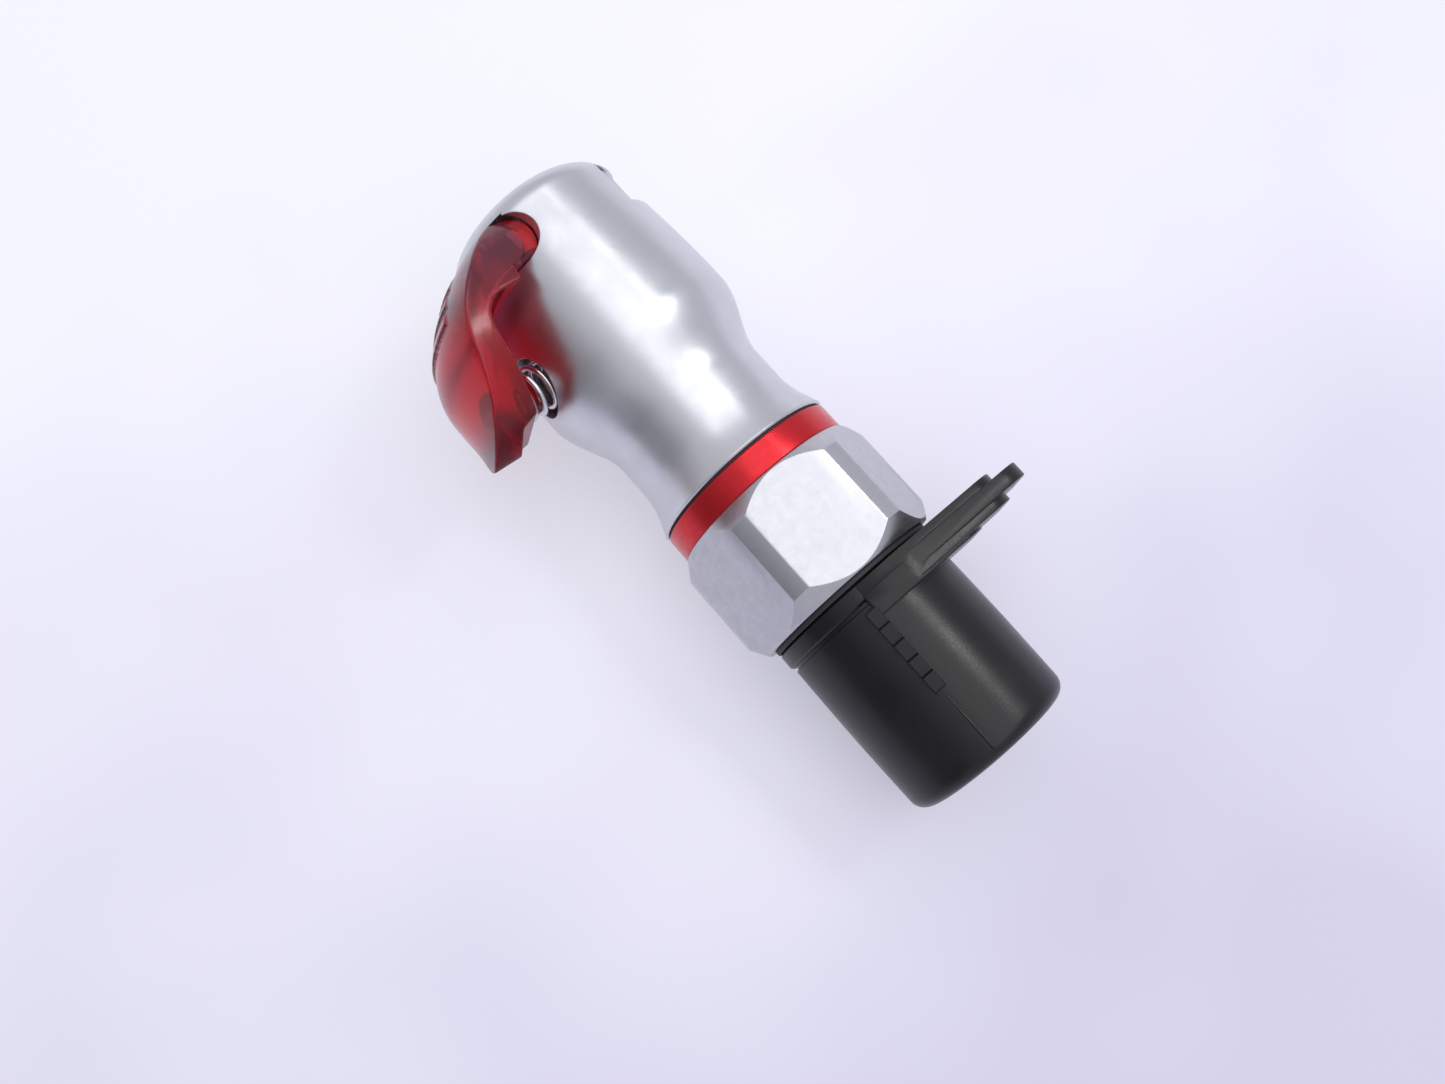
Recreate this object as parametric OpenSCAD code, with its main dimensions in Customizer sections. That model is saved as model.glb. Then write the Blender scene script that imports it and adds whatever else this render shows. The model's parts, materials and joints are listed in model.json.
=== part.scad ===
// Push-button safety coupling for compressed air, with its thread cap on.
// X is the flow axis. The origin is the centre of the plug mouth, on the flat front face,
// and +X points out of the mouth. The button is on the +Y side.
// Stations along the flow axis are written as depths behind the front face, so x = -depth.

/* [Head] */
// length of the head from its front face to its rear collar
head_l = 45.8; // [44:0.1:50]
// outer diameter behind the front rounding
front_d = 27.8; // [27.2:0.1:29]
// largest outer diameter
bulge_d = 30.2; // [29.4:0.1:32]
// depth of the largest diameter
bulge_at = 24.2; // [23:0.1:25.5]
// neck diameter
neck_d = 23.7; // [23.2:0.1:26]
// depth where the neck becomes straight
neck_from = 35; // [33:0.1:36]
// length of the straight neck
neck_l = 4.4; // [2:0.1:6]
// rear collar diameter
collar_d = 26.9; // [26:0.1:28]
// radius of the rounded front edge
nose_fillet = 4; // [2.5:0.1:5]
// chamfer on edges of turned metal pieces
edge = 0.25; // [0.1:0.05:0.4]

/* [Plug socket] */
// bore that takes the plug
mouth_d = 13.2; // [12.6:0.05:13.4]
// lead-in chamfer of the bore
mouth_chamfer = 0.8; // [0.4:0.1:1.2]
// bore for the seal and the inner sleeve
sleeve_bore_d = 15.5; // [15.2:0.05:15.8]
// length of the plug seal
seal_l = 3; // [2:0.1:4]
// bore of the plug seal's lip
lip_d = 12.8; // [12.2:0.05:13]

/* [Button slot] */
// depth of the slot's front wall
slot_front = 2.6; // [2:0.1:3.2]
// width of the slot along the flow axis
slot_w = 7.5; // [7:0.1:8]
// height of the slot's lowest line above the axis
slot_floor = 6; // [5.6:0.1:6.3]
// the same below the axis, for the notch on the far side
notch_floor = 7.4; // [7.1:0.1:8.2]
// wall between the slot and the seal
slot_web = 1.9; // [1.5:0.1:2.2]
// depth of the pocket for the button's legs below the slot's lowest line
pocket_drop = 2.3; // [1.6:0.1:2.6]
// width of that pocket across the head
pocket_w = 22.2; // [21.6:0.1:22.8]

/* [Latch] */
// thickness of the latch plate
latch_t = 3; // [2.4:0.1:3.2]
// distance of the latch behind the slot's centre
latch_back = 0.55; // [0.3:0.05:0.6]
// width of the latch plate
latch_w = 19.4; // [18.8:0.1:19.8]
// distance of the latch plate's rim below the head's front diameter, on radius
latch_sunk = 0.6; // [0.3:0.1:0.8]
// distance of the latch plate's top edge below that rim
latch_roof = 0.9; // [0.8:0.1:1.8]
// hole in the latch plate
latch_hole_d = 14; // [13.6:0.1:14.4]
// offset of that hole towards the button at rest
latch_offset = 2; // [1.6:0.1:2.2]
// distance of the latch's heel in the far notch behind the button's front
heel_back = 0.3; // [0.1:0.1:0.8]
// cam chamfer on the front edge of that hole
latch_cam = 0.8; // [0.4:0.1:1]
// diameter of the pins that tie the latch to the button
pin_d = 1.6; // [1.4:0.1:1.8]
// length of the pins' ends in the button, each side of the latch plate
pin_end = 0.9; // [0.6:0.1:1]
// metal of the latch plate above the pins
pin_roof = 0.5; // [0.4:0.1:0.8]
// distance between the two pins
pin_span = 9; // [8:0.1:10]

/* [Button] */
// how far the button goes in
travel = 2.2; // [1.6:0.1:2.3]
// clearance of the button's foot in the slot, each side
foot_clear = 0.15; // [0.08:0.01:0.2]
// half angle of the thumb ribs about the flow axis
rib_sector = 18; // [14:1:24]
// radius of the button's crown about the flow axis
crown_r = 24.95; // [24:0.05:27]
// radius of the crown where it leaves the front of the slot
crown_front_r = 13.9; // [13.5:0.05:14.5]
// depth at which the crown reaches its full radius
crown_at = 16; // [14:0.5:18]
// thickness of the thumb plate at its tip
plate_t = 3.6; // [3:0.1:4.2]
// height of the flat underside above the axis
under_y = 18.9; // [18.6:0.1:19.6]
// depth where the thicker part of the underside ends
pad_to = 25; // [24:0.1:25.5]
// depth of the neck's back above the head
neck_back = 11.5; // [11:0.1:12]
// largest width of the thumb plate
plate_w = 24.4; // [22:0.1:26]
// depth of the thumb plate's largest width
plate_wide_at = 9; // [8:0.1:11]
// reach of the outline's front end before that width
plate_front = 12.5; // [11:0.1:14]
// depth of the thumb plate's tip
tip_at = 27.4; // [26.5:0.1:30]
// rise of the tip above the crown radius
tip_rise = 1.95; // [1:0.05:3]
// radius of the hollow between the neck and the underside
throat = 2.5; // [2:0.1:3]
// radius of the neck's lower face, clear of the head when pressed
neck_r = 17.1; // [17:0.05:17.6]
// height of the thumb ribs
rib_h = 0.4; // [0.2:0.05:0.6]
// length of each thumb rib along the flow axis
rib_l = 1.3; // [0.8:0.1:1.6]
// spacing of the thumb ribs
rib_pitch = 2.3; // [2:0.1:2.6]
// diameter of the spigot inside the spring
spigot_d = 4.6; // [4:0.1:5]
// length of that spigot
spigot_l = 2.6; // [2:0.1:3]

/* [Button spring] */
// depth of the spring hole's centre
hole_at = 20.8; // [20:0.1:21.2]
// diameter of the spring hole
hole_d = 8.3; // [7.8:0.1:8.4]
// height of the hole's floor above the axis
hole_floor = 8.9; // [8.5:0.1:9.4]
// thickness of the spring washer in the hole
cup_t = 0.5; // [0.3:0.1:0.8]
// outer diameter of the button spring
bspring_d = 6.9; // [6.2:0.1:7.4]
// wire of the button spring
bspring_wire = 0.8; // [0.6:0.05:0.9]
// turns of the button spring
bspring_turns = 6; // [5:0.5:6.5]

/* [Valve] */
// bore of the head behind the sleeve
valve_bore_d = 19.2; // [18.8:0.1:19.8]
// length of the valve seat ring
seat_l = 3; // [2.6:0.1:4]
// bore of the valve seat ring
seat_bore_d = 10.4; // [10.2:0.1:11]
// section of the O-ring on the valve seat ring
seat_ring_t = 1.14; // [1:0.02:1.2]
// outer diameter of the poppet's front tube
nose_d = 9.8; // [9:0.1:10]
// bore of the poppet's front tube
nose_bore_d = 7.2; // [6.4:0.1:7.6]
// length of that tube in front of the seat ring
nose_l = 4.6; // [3.6:0.1:5]
// width of the flow windows in that tube
window_w = 3; // [2:0.1:3.4]
// diameter of the poppet disc
disc_d = 14; // [13:0.1:14.6]
// thickness of the poppet disc
disc_t = 2; // [1.5:0.1:3]
// thickness of the rubber face on the poppet disc
face_t = 0.8; // [0.6:0.1:1.2]
// diameter of the poppet stem
stem_d = 4.4; // [4:0.1:4.8]
// running clearance of the stem, on radius
stem_clear = 0.05; // [0.02:0.01:0.08]
// distance of the stem cage from the head's rear face
cage_inset = 3.8; // [3.2:0.1:4.4]
// outer diameter of the valve spring
vspring_d = 9; // [8:0.1:10]
// wire of the valve spring
vspring_wire = 0.7; // [0.6:0.05:0.8]
// turns of the valve spring
vspring_turns = 4.5; // [4:0.5:5]
// thickness of the cage that guides the stem
cage_t = 1.5; // [1.2:0.1:2]
// width of the cage's three spokes
spoke_w = 1.8; // [1.4:0.1:2.2]
// hub diameter of the cage
hub_d = 9.4; // [9:0.1:10]
// thickness of the retaining ring
clip_t = 0.9; // [0.7:0.1:1]
// gap between the retaining ring's ends
clip_mouth = 3; // [2:0.1:4]

/* [Connector] */
// bore for the valve inside the connector
valve_room_d = 16; // [15.4:0.1:16.4]
// bore of the connector
port_d = 13; // [11:0.1:13.6]
// clearance between the connector's spigot and the head, on radius
spigot_clear = 0.1; // [0.05:0.01:0.2]
// section of the connector's O-ring
oring_t = 2; // [1.6:0.05:2.1]
// length of the coloured ring's seat
ring_l = 4; // [3.2:0.1:5]
// outer diameter of the coloured ring
ring_d = 26.6; // [25.6:0.1:27]
// thickness of the thin seal in front of the coloured ring
gasket_t = 0.3; // [0.2:0.05:0.5]
// step of that seal below the coloured ring, on radius
gasket_step = 0.35; // [0.2:0.05:0.6]
// width across the flats of the hexagon
hex_af = 27; // [26.8:0.1:29]
// diameter over the turned-down corners
hex_corner_d = 29.8; // [29:0.1:31.4]
// length of the hexagon
hex_l = 16.3; // [14:0.1:18]
// angle of the corner chamfer to the flow axis
hex_bevel = 30; // [25:1:40]
// turn of the first flat from the button side
hex_turn = 10.7; // [0:0.1:60]
// outer diameter of the G 1/2 thread
thread_d = 20.955; // [20.7:0.005:21]
// length of the thread
thread_l = 15; // [12:0.5:17]
// chamfer at the thread's end
thread_chamfer = 1.2; // [0.8:0.1:1.5]
// diameter of the run-out groove behind the hexagon
relief_d = 18.6; // [18:0.1:19]
// length of the run-out groove
relief_l = 2.2; // [1.5:0.1:3]

/* [Thread washer] */
// outer diameter of the flat washer on the thread
washer_d = 25; // [23.6:0.1:26]
// thickness of that washer
washer_t = 0.7; // [0.5:0.1:1.5]

/* [Cap] */
// outer diameter of the cap
cap_d = 24.2; // [23.6:0.1:26]
// length of the cap
cap_l = 26.4; // [22:0.1:30]
// flange diameter of the cap
flange_d = 24.8; // [24.2:0.1:27]
// length of the flange
flange_l = 2.4; // [1.6:0.1:3]
// width of the groove behind the flange
groove_w = 0.5; // [0.3:0.1:0.8]
// depth of that groove
groove_deep = 0.35; // [0.2:0.05:0.5]
// clearance of the cap on the thread, on radius
cap_clear = 0.12; // [0.06:0.01:0.3]
// length of the cap's bore that grips the thread
grip_l = 16; // [15.5:0.1:18]
// step of the bore behind the thread, on radius
grip_step = 0.9; // [0.4:0.1:1.2]
// end wall of the cap
cap_wall = 1.6; // [1.2:0.1:2.5]
// radius of the cap's rounded end
cap_round = 2; // [1:0.1:3]

/* [Cap tab and ribs] */
// turn of the pull tab from the button side
tab_turn = 151.3; // [0:0.1:360]
// reach of the tab from the flow axis
tab_reach = 25.6; // [22:0.1:30]
// width of the tab at its root
tab_root_w = 25.2; // [24.9:0.1:26]
// width of the tab at its tip
tab_tip_w = 17; // [14:0.1:20]
// corner radius of the tab
tab_round = 4; // [2:0.1:6]
// thickness of the tab's middle layer
tab_t = 2.1; // [1.6:0.1:3]
// thickness of the grip pad on each face of the tab
pad_t = 1.1; // [0.6:0.1:1.3]
// margin of the grip pads behind the tab's tip
pad_margin = 3.4; // [2:0.1:5]
// thickness of the thin root layer on the tab's rear face
root_layer_t = 0.4; // [0.2:0.1:0.6]
// margin of that layer behind the tab's tip
root_layer_margin = 8.4; // [6:0.1:11]
// depth of the tab behind the flange's front face
tab_set = 0.2; // [0:0.1:0.6]
// number of teeth on each grip rib of the cap
teeth = 5; // [3:1:7]
// pitch of the teeth
tooth_pitch = 2.5; // [2:0.1:3]
// height of the teeth
tooth_h = 0.9; // [0.5:0.1:1.2]
// width of a grip rib
grip_rib_w = 1.7; // [1.2:0.1:2.4]

/* [Hidden] */
$fn = 96;
axial_gap = 0.1;
through = 60;

slot_c = slot_front + slot_w / 2;
slot_r = slot_w / 2;
slot_back = slot_front + slot_w;
latch_c = slot_c + latch_back;
latch_gap = 0.1;
latch_r = front_d / 2 - latch_sunk;
latch_top = latch_r - latch_roof;
pin_y = latch_top - pin_d / 2 - pin_roof;
foot_front = slot_front + foot_clear;
foot_floor = slot_floor + travel + foot_clear;
leg_floor = foot_floor - pocket_drop;
leg_span = pocket_w - 2 * foot_clear;
foot_relief_r = mouth_d / 2 + travel + 2 * foot_clear;

seal_from = slot_back + slot_web;
seal_to = seal_from + seal_l;
sleeve_from = seal_to + axial_gap;
sleeve_to = hole_at + hole_d / 2 + 1.05;
seat_from = sleeve_to + axial_gap;
seat_to = seat_from + seat_l;
disc_from = seat_to + face_t;
disc_to = disc_from + disc_t;
cage_to = head_l - cage_inset;
cage_from = cage_to - cage_t;
vspring_l = cage_from - disc_to;
spigot_from = seat_to + axial_gap;
spigot_r = valve_bore_d / 2 - spigot_clear;
stem_to = cage_to + 1.5;
oring_c = (cage_to + head_l) / 2;

ring_from = head_l + gasket_t;
hex_from = head_l + ring_l;
hex_to = hex_from + hex_l;
thread_to = hex_to + thread_l;
washer_from = hex_to;
cap_from = hex_to + washer_t + 0.05;
cap_to = cap_from + cap_l;
grip_r = thread_d / 2 + cap_clear;

cup_y = hole_floor + cup_t;

// eases from 0 to 1 with level ends
function ease(t) = (1 - cos(180 * t)) / 2;

// outer radius of the head between the front rounding and the neck
function head_r(d) =
    d < bulge_at
    ? front_d / 2 + (bulge_d - front_d) / 2 * sin(90 * (d - nose_fillet) / (bulge_at - nose_fillet))
    : bulge_d / 2 - (bulge_d - neck_d) / 2 * ease((d - bulge_at) / (neck_from - bulge_at));

// outer radius of the button's crown
function crown(d) =
    d < crown_at
    ? crown_front_r + (crown_r - crown_front_r)
      * pow(sin(90 * (d - foot_front) / (crown_at - foot_front)), 0.8)
    : crown_r + tip_rise * pow(max(0, d - crown_at - 4) / (tip_at - crown_at - 4), 2);

// half width of the button seen from its crown
function plate_half(d) =
    let (reach = d < plate_wide_at ? plate_front : tip_at - plate_wide_at)
    plate_w / 2 * pow(max(0, 1 - pow((d - plate_wide_at) / reach, 2)), 0.75);

// solid of revolution about the flow axis from [radius, depth] points
module turned(points)
    rotate([0, 90, 0])
        rotate_extrude()
            polygon([for (p = points) [p[0], -p[1]]]);

// round bar along the flow axis between two depths
module bar(r, from, to)
    translate([-to, 0, 0])
        rotate([0, 90, 0])
            cylinder(r = r, h = to - from);

// tube along the flow axis between two depths, with chamfered outer edges
module tube(ro, ri, from, to, c = 0)
    turned([[ri, from], [ro - c, from], [ro, from + c], [ro, to - c], [ro - c, to], [ri, to]]);

// ring of round section about the flow axis
module oring(r, t, at)
    translate([-at, 0, 0])
        rotate([0, 90, 0])
            rotate_extrude()
                translate([r, 0])
                    circle(d = t, $fn = 32);

// outline drawn in Y and Z, extruded along the flow axis between two depths
module plate_x(from, to)
    translate([-to, 0, 0])
        rotate([90, 0, 90])
            linear_extrude(to - from)
                children();

// wedge about +Y, to each side of it by the given angle
module wedge(a, from, to)
    plate_x(from, to)
        polygon([[0, 0], [through * cos(a), -through * sin(a)], [through, 0],
                 [through * cos(a), through * sin(a)]]);

// slot with a full-radius floor, open towards +Y, running across the head
module cross_slot(r, floor_y)
    linear_extrude(through, center = true) {
        translate([-slot_c, floor_y + r])
            circle(r = r);
        translate([-slot_c - r, floor_y + r])
            square([2 * r, through]);
    }

// coil spring along +Z with closed end turns
module coil(outer_d, wire, length, turns) {
    steps = 20;
    sides = 8;
    n = turns * steps;
    rm = (outer_d - wire) / 2;
    free = (length - 3 * wire) / (turns - 2);
    rise = function (t) t < 1 ? wire * t
                      : t > turns - 1 ? length - wire - wire * (turns - t)
                      : wire + free * (t - 1);
    points = [for (i = [0:n], j = [0:sides - 1])
        let (t = i / steps, a = 360 * t, b = 360 * j / sides)
        [(rm + wire / 2 * cos(b)) * cos(a), (rm + wire / 2 * cos(b)) * sin(a),
         wire / 2 + rise(t) + wire / 2 * sin(b)]];
    walls = [for (i = [0:n - 1], j = [0:sides - 1])
        let (k = (j + 1) % sides)
        [i * sides + j, i * sides + k, (i + 1) * sides + k, (i + 1) * sides + j]];
    first = [[for (j = [sides - 1:-1:0]) j]];
    last = [[for (j = [0:sides - 1]) n * sides + j]];
    polyhedron(points, concat(walls, first, last), convexity = 10);
}

module head_outline() {
    nose = [for (a = [0:7.5:90])
        [front_d / 2 - nose_fillet * (1 - sin(a)), nose_fillet * (1 - cos(a))]];
    shell = [for (i = [1:20])
        let (d = nose_fillet + (bulge_at - nose_fillet) * i / 20)
        [head_r(d), d]];
    shoulder = [for (i = [1:20])
        let (d = bulge_at + (neck_from - bulge_at) * i / 20)
        [head_r(d), d]];
    flare_from = neck_from + neck_l;
    flare = [for (i = [0:14])
        let (t = i / 14)
        [neck_d / 2 + (collar_d - neck_d) / 2 * (1 - cos(90 * t)),
         flare_from + (head_l - edge - flare_from) * t]];
    turned(concat([[0, 0]], nose, shell, shoulder, flare,
                  [[collar_d / 2 - edge, head_l], [0, head_l]]));
}

module head_body()
    color([0.72, 0.73, 0.76])
        difference() {
            head_outline();
            bar(mouth_d / 2, -1, seal_from + 1);
            turned([[0, -0.01], [mouth_d / 2 + mouth_chamfer, -0.01],
                    [mouth_d / 2, mouth_chamfer], [0, mouth_chamfer]]);
            bar(sleeve_bore_d / 2, seal_from, sleeve_to + 1);
            bar(valve_bore_d / 2, sleeve_to, head_l + 1);
            cross_slot(slot_r, slot_floor);
            short_slot(slot_r, slot_floor - pocket_drop, pocket_w);
            plate_x(slot_front, slot_back)
                translate([-notch_floor - through, -through / 2])
                    square(through);
            plate_x(latch_c - latch_t / 2 - latch_gap, latch_c + latch_t / 2 + latch_gap)
                square([through, latch_w + 2 * latch_gap], center = true);
            translate([-hole_at, hole_floor, 0])
                rotate([-90, 0, 0])
                    cylinder(d = hole_d, h = through);
        }

// the slot's profile, limited to a width across the head
module short_slot(r, floor_y, w)
    intersection() {
        cross_slot(r, floor_y);
        cube([through, through, w], center = true);
    }

// all that lies within the button's crown and outline
module button_envelope()
    intersection() {
        turned(concat([[0, foot_front]],
                      [for (i = [0:36])
                          let (d = foot_front + (tip_at - foot_front) * i / 36)
                          [crown(d), d]],
                      [[0, tip_at]]));
        rotate([-90, 0, 0])
            linear_extrude(through)
                polygon(concat(
                    [for (i = [0:36])
                        let (d = tip_at * i / 36)
                        [-d, -plate_half(d)]],
                    [for (i = [35:-1:0])
                        let (d = tip_at * i / 36)
                        [-d, plate_half(d)]]));
    }

// room under the overhanging part of the button
module button_underside() {
    step = plate_t * 0.7;
    bar(neck_r, slot_c, tip_at + 1);
    linear_extrude(through, center = true)
        polygon(concat(
            [[-neck_back, 0]],
            [for (a = [0:10:90])
                [-neck_back - throat * (1 - cos(a)), under_y - throat * (1 - sin(a))]],
            [[-pad_to, under_y], [-pad_to - step / 4, under_y + step],
             [-tip_at - 1, crown(tip_at) - plate_t], [-tip_at - 1, 0]]));
}

module button_shell()
    intersection() {
        button_envelope();
        difference() {
            union() {
                cross_slot(slot_r - foot_clear, foot_floor);
                short_slot(slot_r - foot_clear, leg_floor, leg_span);
                translate([-tip_at - 1, 0, -through / 2])
                    cube([tip_at + 1 - slot_c, through, through]);
            }
            difference() {
                button_underside();
                cross_slot(slot_r - foot_clear, foot_floor);
                short_slot(slot_r - foot_clear, leg_floor, leg_span);
            }
            bar(foot_relief_r, 0, slot_back + slot_w);
        }
    }

module thumb_ribs()
    for (i = [0:2]) {
        from = foot_front + 1.6 + i * rib_pitch;
        to = from + rib_l;
        intersection() {
            turned([[crown(from) - 1, from], [crown(from) + rib_h, from + 0.15],
                    [crown(to) + rib_h, to], [crown(to) - 1, to]]);
            wedge(rib_sector, 0, through);
        }
    }

module push_button()
    color([0.72, 0.06, 0.08])
        difference() {
            union() {
                button_shell();
                thumb_ribs();
                translate([-hole_at, under_y - spigot_l, 0])
                    rotate([-90, 0, 0])
                        cylinder(d = spigot_d, h = spigot_l + 1);
            }
            plate_x(latch_c - latch_t / 2 - 0.03, latch_c + latch_t / 2 + 0.03)
                intersection() {
                    circle(r = latch_r + 0.05);
                    translate([0, -latch_w / 2 - 0.05])
                        square([latch_top + 0.05, latch_w + 0.1]);
                }
            latch_pin_pair(0.01);
        }

module latch_pin_pair(extra = 0)
    for (s = [-1, 1])
        translate([0, pin_y, s * pin_span / 2])
            bar(pin_d / 2 + extra, latch_c - latch_t / 2 - pin_end - extra,
                latch_c + latch_t / 2 + pin_end + extra);

// the latch plate's outline from a height up to its top edge
module latch_outline(from_y, to_y)
    intersection() {
        circle(r = latch_r);
        translate([from_y, -latch_w / 2])
            square([to_y - from_y, latch_w]);
    }

module latch_ring()
    color([0.62, 0.63, 0.64])
        difference() {
            union() {
                plate_x(latch_c - latch_t / 2, latch_c + latch_t / 2)
                    latch_outline(-through, latch_top);
                plate_x(foot_front + heel_back, latch_c)
                    latch_outline(-through, -notch_floor - foot_clear);
            }
            translate([0, latch_offset, 0]) {
                bar(latch_hole_d / 2, 0, slot_back + slot_w);
                turned([[0, latch_c - latch_t / 2 - 0.01],
                        [latch_hole_d / 2 + latch_cam, latch_c - latch_t / 2 - 0.01],
                        [latch_hole_d / 2, latch_c - latch_t / 2 + latch_cam],
                        [0, latch_c - latch_t / 2 + latch_cam]]);
            }
            latch_pin_pair(0.01);
        }

module latch_pins()
    color([0.55, 0.56, 0.57])
        latch_pin_pair();

module button_spring()
    color([0.7, 0.71, 0.72])
        translate([-hole_at, cup_y + 0.02, 0])
            rotate([-90, 0, 0])
                coil(bspring_d, bspring_wire, under_y - cup_y - 0.04, bspring_turns);

module spring_washer()
    color([0.6, 0.61, 0.62])
        translate([-hole_at, hole_floor, 0])
            rotate([-90, 0, 0])
                difference() {
                    cylinder(d = hole_d - 0.2, h = cup_t);
                    translate([0, 0, -1])
                        cylinder(d = bspring_d - 3 * bspring_wire, h = cup_t + 2);
                }

module plug_seal()
    color([0.06, 0.06, 0.07])
        turned([[lip_d / 2, seal_from + 0.4], [sleeve_bore_d / 2 - 0.75, seal_from + 0.4],
                [sleeve_bore_d / 2 - 0.75, seal_from], [sleeve_bore_d / 2 - 0.02, seal_from],
                [sleeve_bore_d / 2 - 0.02, seal_to], [lip_d / 2 + 0.5, seal_to],
                [lip_d / 2, seal_to - 0.9]]);

module inner_sleeve()
    color([0.78, 0.66, 0.38])
        tube(sleeve_bore_d / 2 - 0.02, mouth_d / 2, sleeve_from, sleeve_to, edge);

module valve_seat()
    color([0.78, 0.66, 0.38])
        difference() {
            tube(valve_bore_d / 2 - 0.05, seat_bore_d / 2, seat_from, seat_to, edge);
            tube(through / 2, valve_bore_d / 2 - seat_ring_t - 0.05,
                 (seat_from + seat_to - seat_ring_t) / 2 - 0.02,
                 (seat_from + seat_to + seat_ring_t) / 2 + 0.02);
        }

module seat_oring()
    color([0.06, 0.06, 0.07])
        oring(valve_bore_d / 2 - seat_ring_t / 2 - 0.01, seat_ring_t, (seat_from + seat_to) / 2);

module valve_poppet()
    color([0.78, 0.66, 0.38])
        difference() {
            union() {
                bar(nose_d / 2, seat_from - nose_l, disc_from + 0.5);
                bar(disc_d / 2, disc_from, disc_to);
                bar(stem_d / 2, disc_to - 0.5, stem_to);
            }
            bar(nose_bore_d / 2, seat_from - nose_l - 1, seat_to - 0.4);
            for (a = [45, 135])
                rotate([a, 0, 0])
                    translate([-seat_from - 0.6, -window_w / 2, -through / 2])
                        cube([2.6, window_w, through]);
        }

module poppet_face()
    color([0.06, 0.06, 0.07])
        tube(disc_d / 2 - 0.3, nose_d / 2 + 0.02, seat_to, disc_from);

module valve_spring()
    color([0.7, 0.71, 0.72])
        translate([-disc_to - 0.02, 0, 0])
            rotate([0, -90, 0])
                coil(vspring_d, vspring_wire, vspring_l - 0.04, vspring_turns);

module stem_cage()
    color([0.78, 0.66, 0.38])
        difference() {
            union() {
                tube(valve_room_d / 2 - 0.05, valve_room_d / 2 - 1.1, cage_from, cage_to);
                bar(hub_d / 2, cage_from, cage_to);
                intersection() {
                    bar(valve_room_d / 2 - 0.5, cage_from, cage_to);
                    for (a = [0:120:240])
                        rotate([a, 0, 0])
                            translate([-cage_to, 0, -spoke_w / 2])
cube([cage_t, valve_room_d, spoke_w]);
                }
            }
            bar(stem_d / 2 + stem_clear, cage_from - 1, cage_to + 1);
        }

module retaining_ring()
    color([0.35, 0.36, 0.38])
        difference() {
            tube(valve_room_d / 2 + 0.4, valve_room_d / 2 - 0.7, cage_from - 0.05 - clip_t,
                 cage_from - 0.05);
            translate([-cage_from - 1, 0, -clip_mouth / 2])
                cube([clip_t + 3, valve_room_d, clip_mouth]);
        }

module rear_connector() {
    bevel_l = (hex_corner_d - hex_af) / 2 / tan(hex_bevel);
    groove_r = spigot_r - oring_t + spigot_clear;
    color([0.8, 0.81, 0.83])
        difference() {
            union() {
                bar(spigot_r, spigot_from, hex_from + 1);
                intersection() {
                    rotate([hex_turn, 0, 0])
                        translate([-hex_to, 0, 0])
                            rotate([0, 90, 0])
                                cylinder(d = hex_af / cos(30), h = hex_l, $fn = 6);
                    turned([[0, hex_from], [hex_af / 2, hex_from],
                            [hex_corner_d / 2, hex_from + bevel_l],
                            [hex_corner_d / 2, hex_to - bevel_l],
                            [hex_af / 2, hex_to], [0, hex_to]]);
                }
                turned([[0, hex_to - 1], [relief_d / 2, hex_to - 1], [relief_d / 2, hex_to + relief_l],
                        [thread_d / 2, hex_to + relief_l + 0.8],
                        [thread_d / 2, thread_to - thread_chamfer],
                        [thread_d / 2 - thread_chamfer, thread_to], [0, thread_to]]);
            }
            bar(port_d / 2, spigot_from - 1, thread_to + 1);
            bar(valve_room_d / 2, spigot_from - 1, cage_to);
            bar(valve_room_d / 2 + 0.45, cage_from - clip_t - 0.1, cage_from);
            tube(through / 2, groove_r, oring_c - oring_t / 2 - 0.1, oring_c + oring_t / 2 + 0.1);
        }
}

module connector_oring()
    color([0.06, 0.06, 0.07])
        oring(valve_bore_d / 2 - oring_t / 2 - 0.01, oring_t - 0.02, oring_c);

module ring_gasket()
    color([0.05, 0.05, 0.06])
        tube(ring_d / 2 - gasket_step, valve_bore_d / 2 + 0.1, head_l, ring_from);

module colour_ring()
    color([0.7, 0.03, 0.05])
        tube(ring_d / 2, valve_bore_d / 2 + 0.05, ring_from, hex_from, edge);

module thread_washer()
    color([0.05, 0.05, 0.06])
        tube(washer_d / 2, relief_d / 2 + 0.1, washer_from, washer_from + washer_t);

module pull_tab() {
    mid = cap_from + tab_set + pad_t;
    plate_x(mid, mid + tab_t)
        tab_outline(tab_reach);
    plate_x(mid - pad_t, mid + tab_t + pad_t)
        tab_outline(tab_reach - pad_margin);
    plate_x(mid, mid + tab_t + pad_t + root_layer_t)
        tab_outline(tab_reach - root_layer_margin);
}

module tab_outline(reach) {
    corner = tab_tip_w / 2 - tab_round;
    polygon([[0, -tab_root_w / 2], [flange_d / 4, -tab_root_w / 2],
             [reach - tab_round, -tab_tip_w / 2], [reach - tab_round, tab_tip_w / 2],
             [flange_d / 4, tab_root_w / 2], [0, tab_root_w / 2]]);
    translate([reach - tab_round - 1, -corner])
        square([tab_round + 1, 2 * corner]);
    for (s = [-1, 1])
        translate([reach - tab_round, s * corner])
            circle(r = tab_round);
}

module grip_rib() {
    start = cap_from + flange_l + groove_w + 0.6;
    r = cap_d / 2;
    linear_extrude(grip_rib_w, center = true)
        polygon(concat(
            [[-start, r - 1]],
            [for (i = [0:teeth - 1], e = [0, 1])
                [-start - (i + e) * tooth_pitch, r + (e == 0 ? tooth_h : tooth_h / 3)]],
            [[-start - teeth * tooth_pitch, r - 1]]));
}

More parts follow.
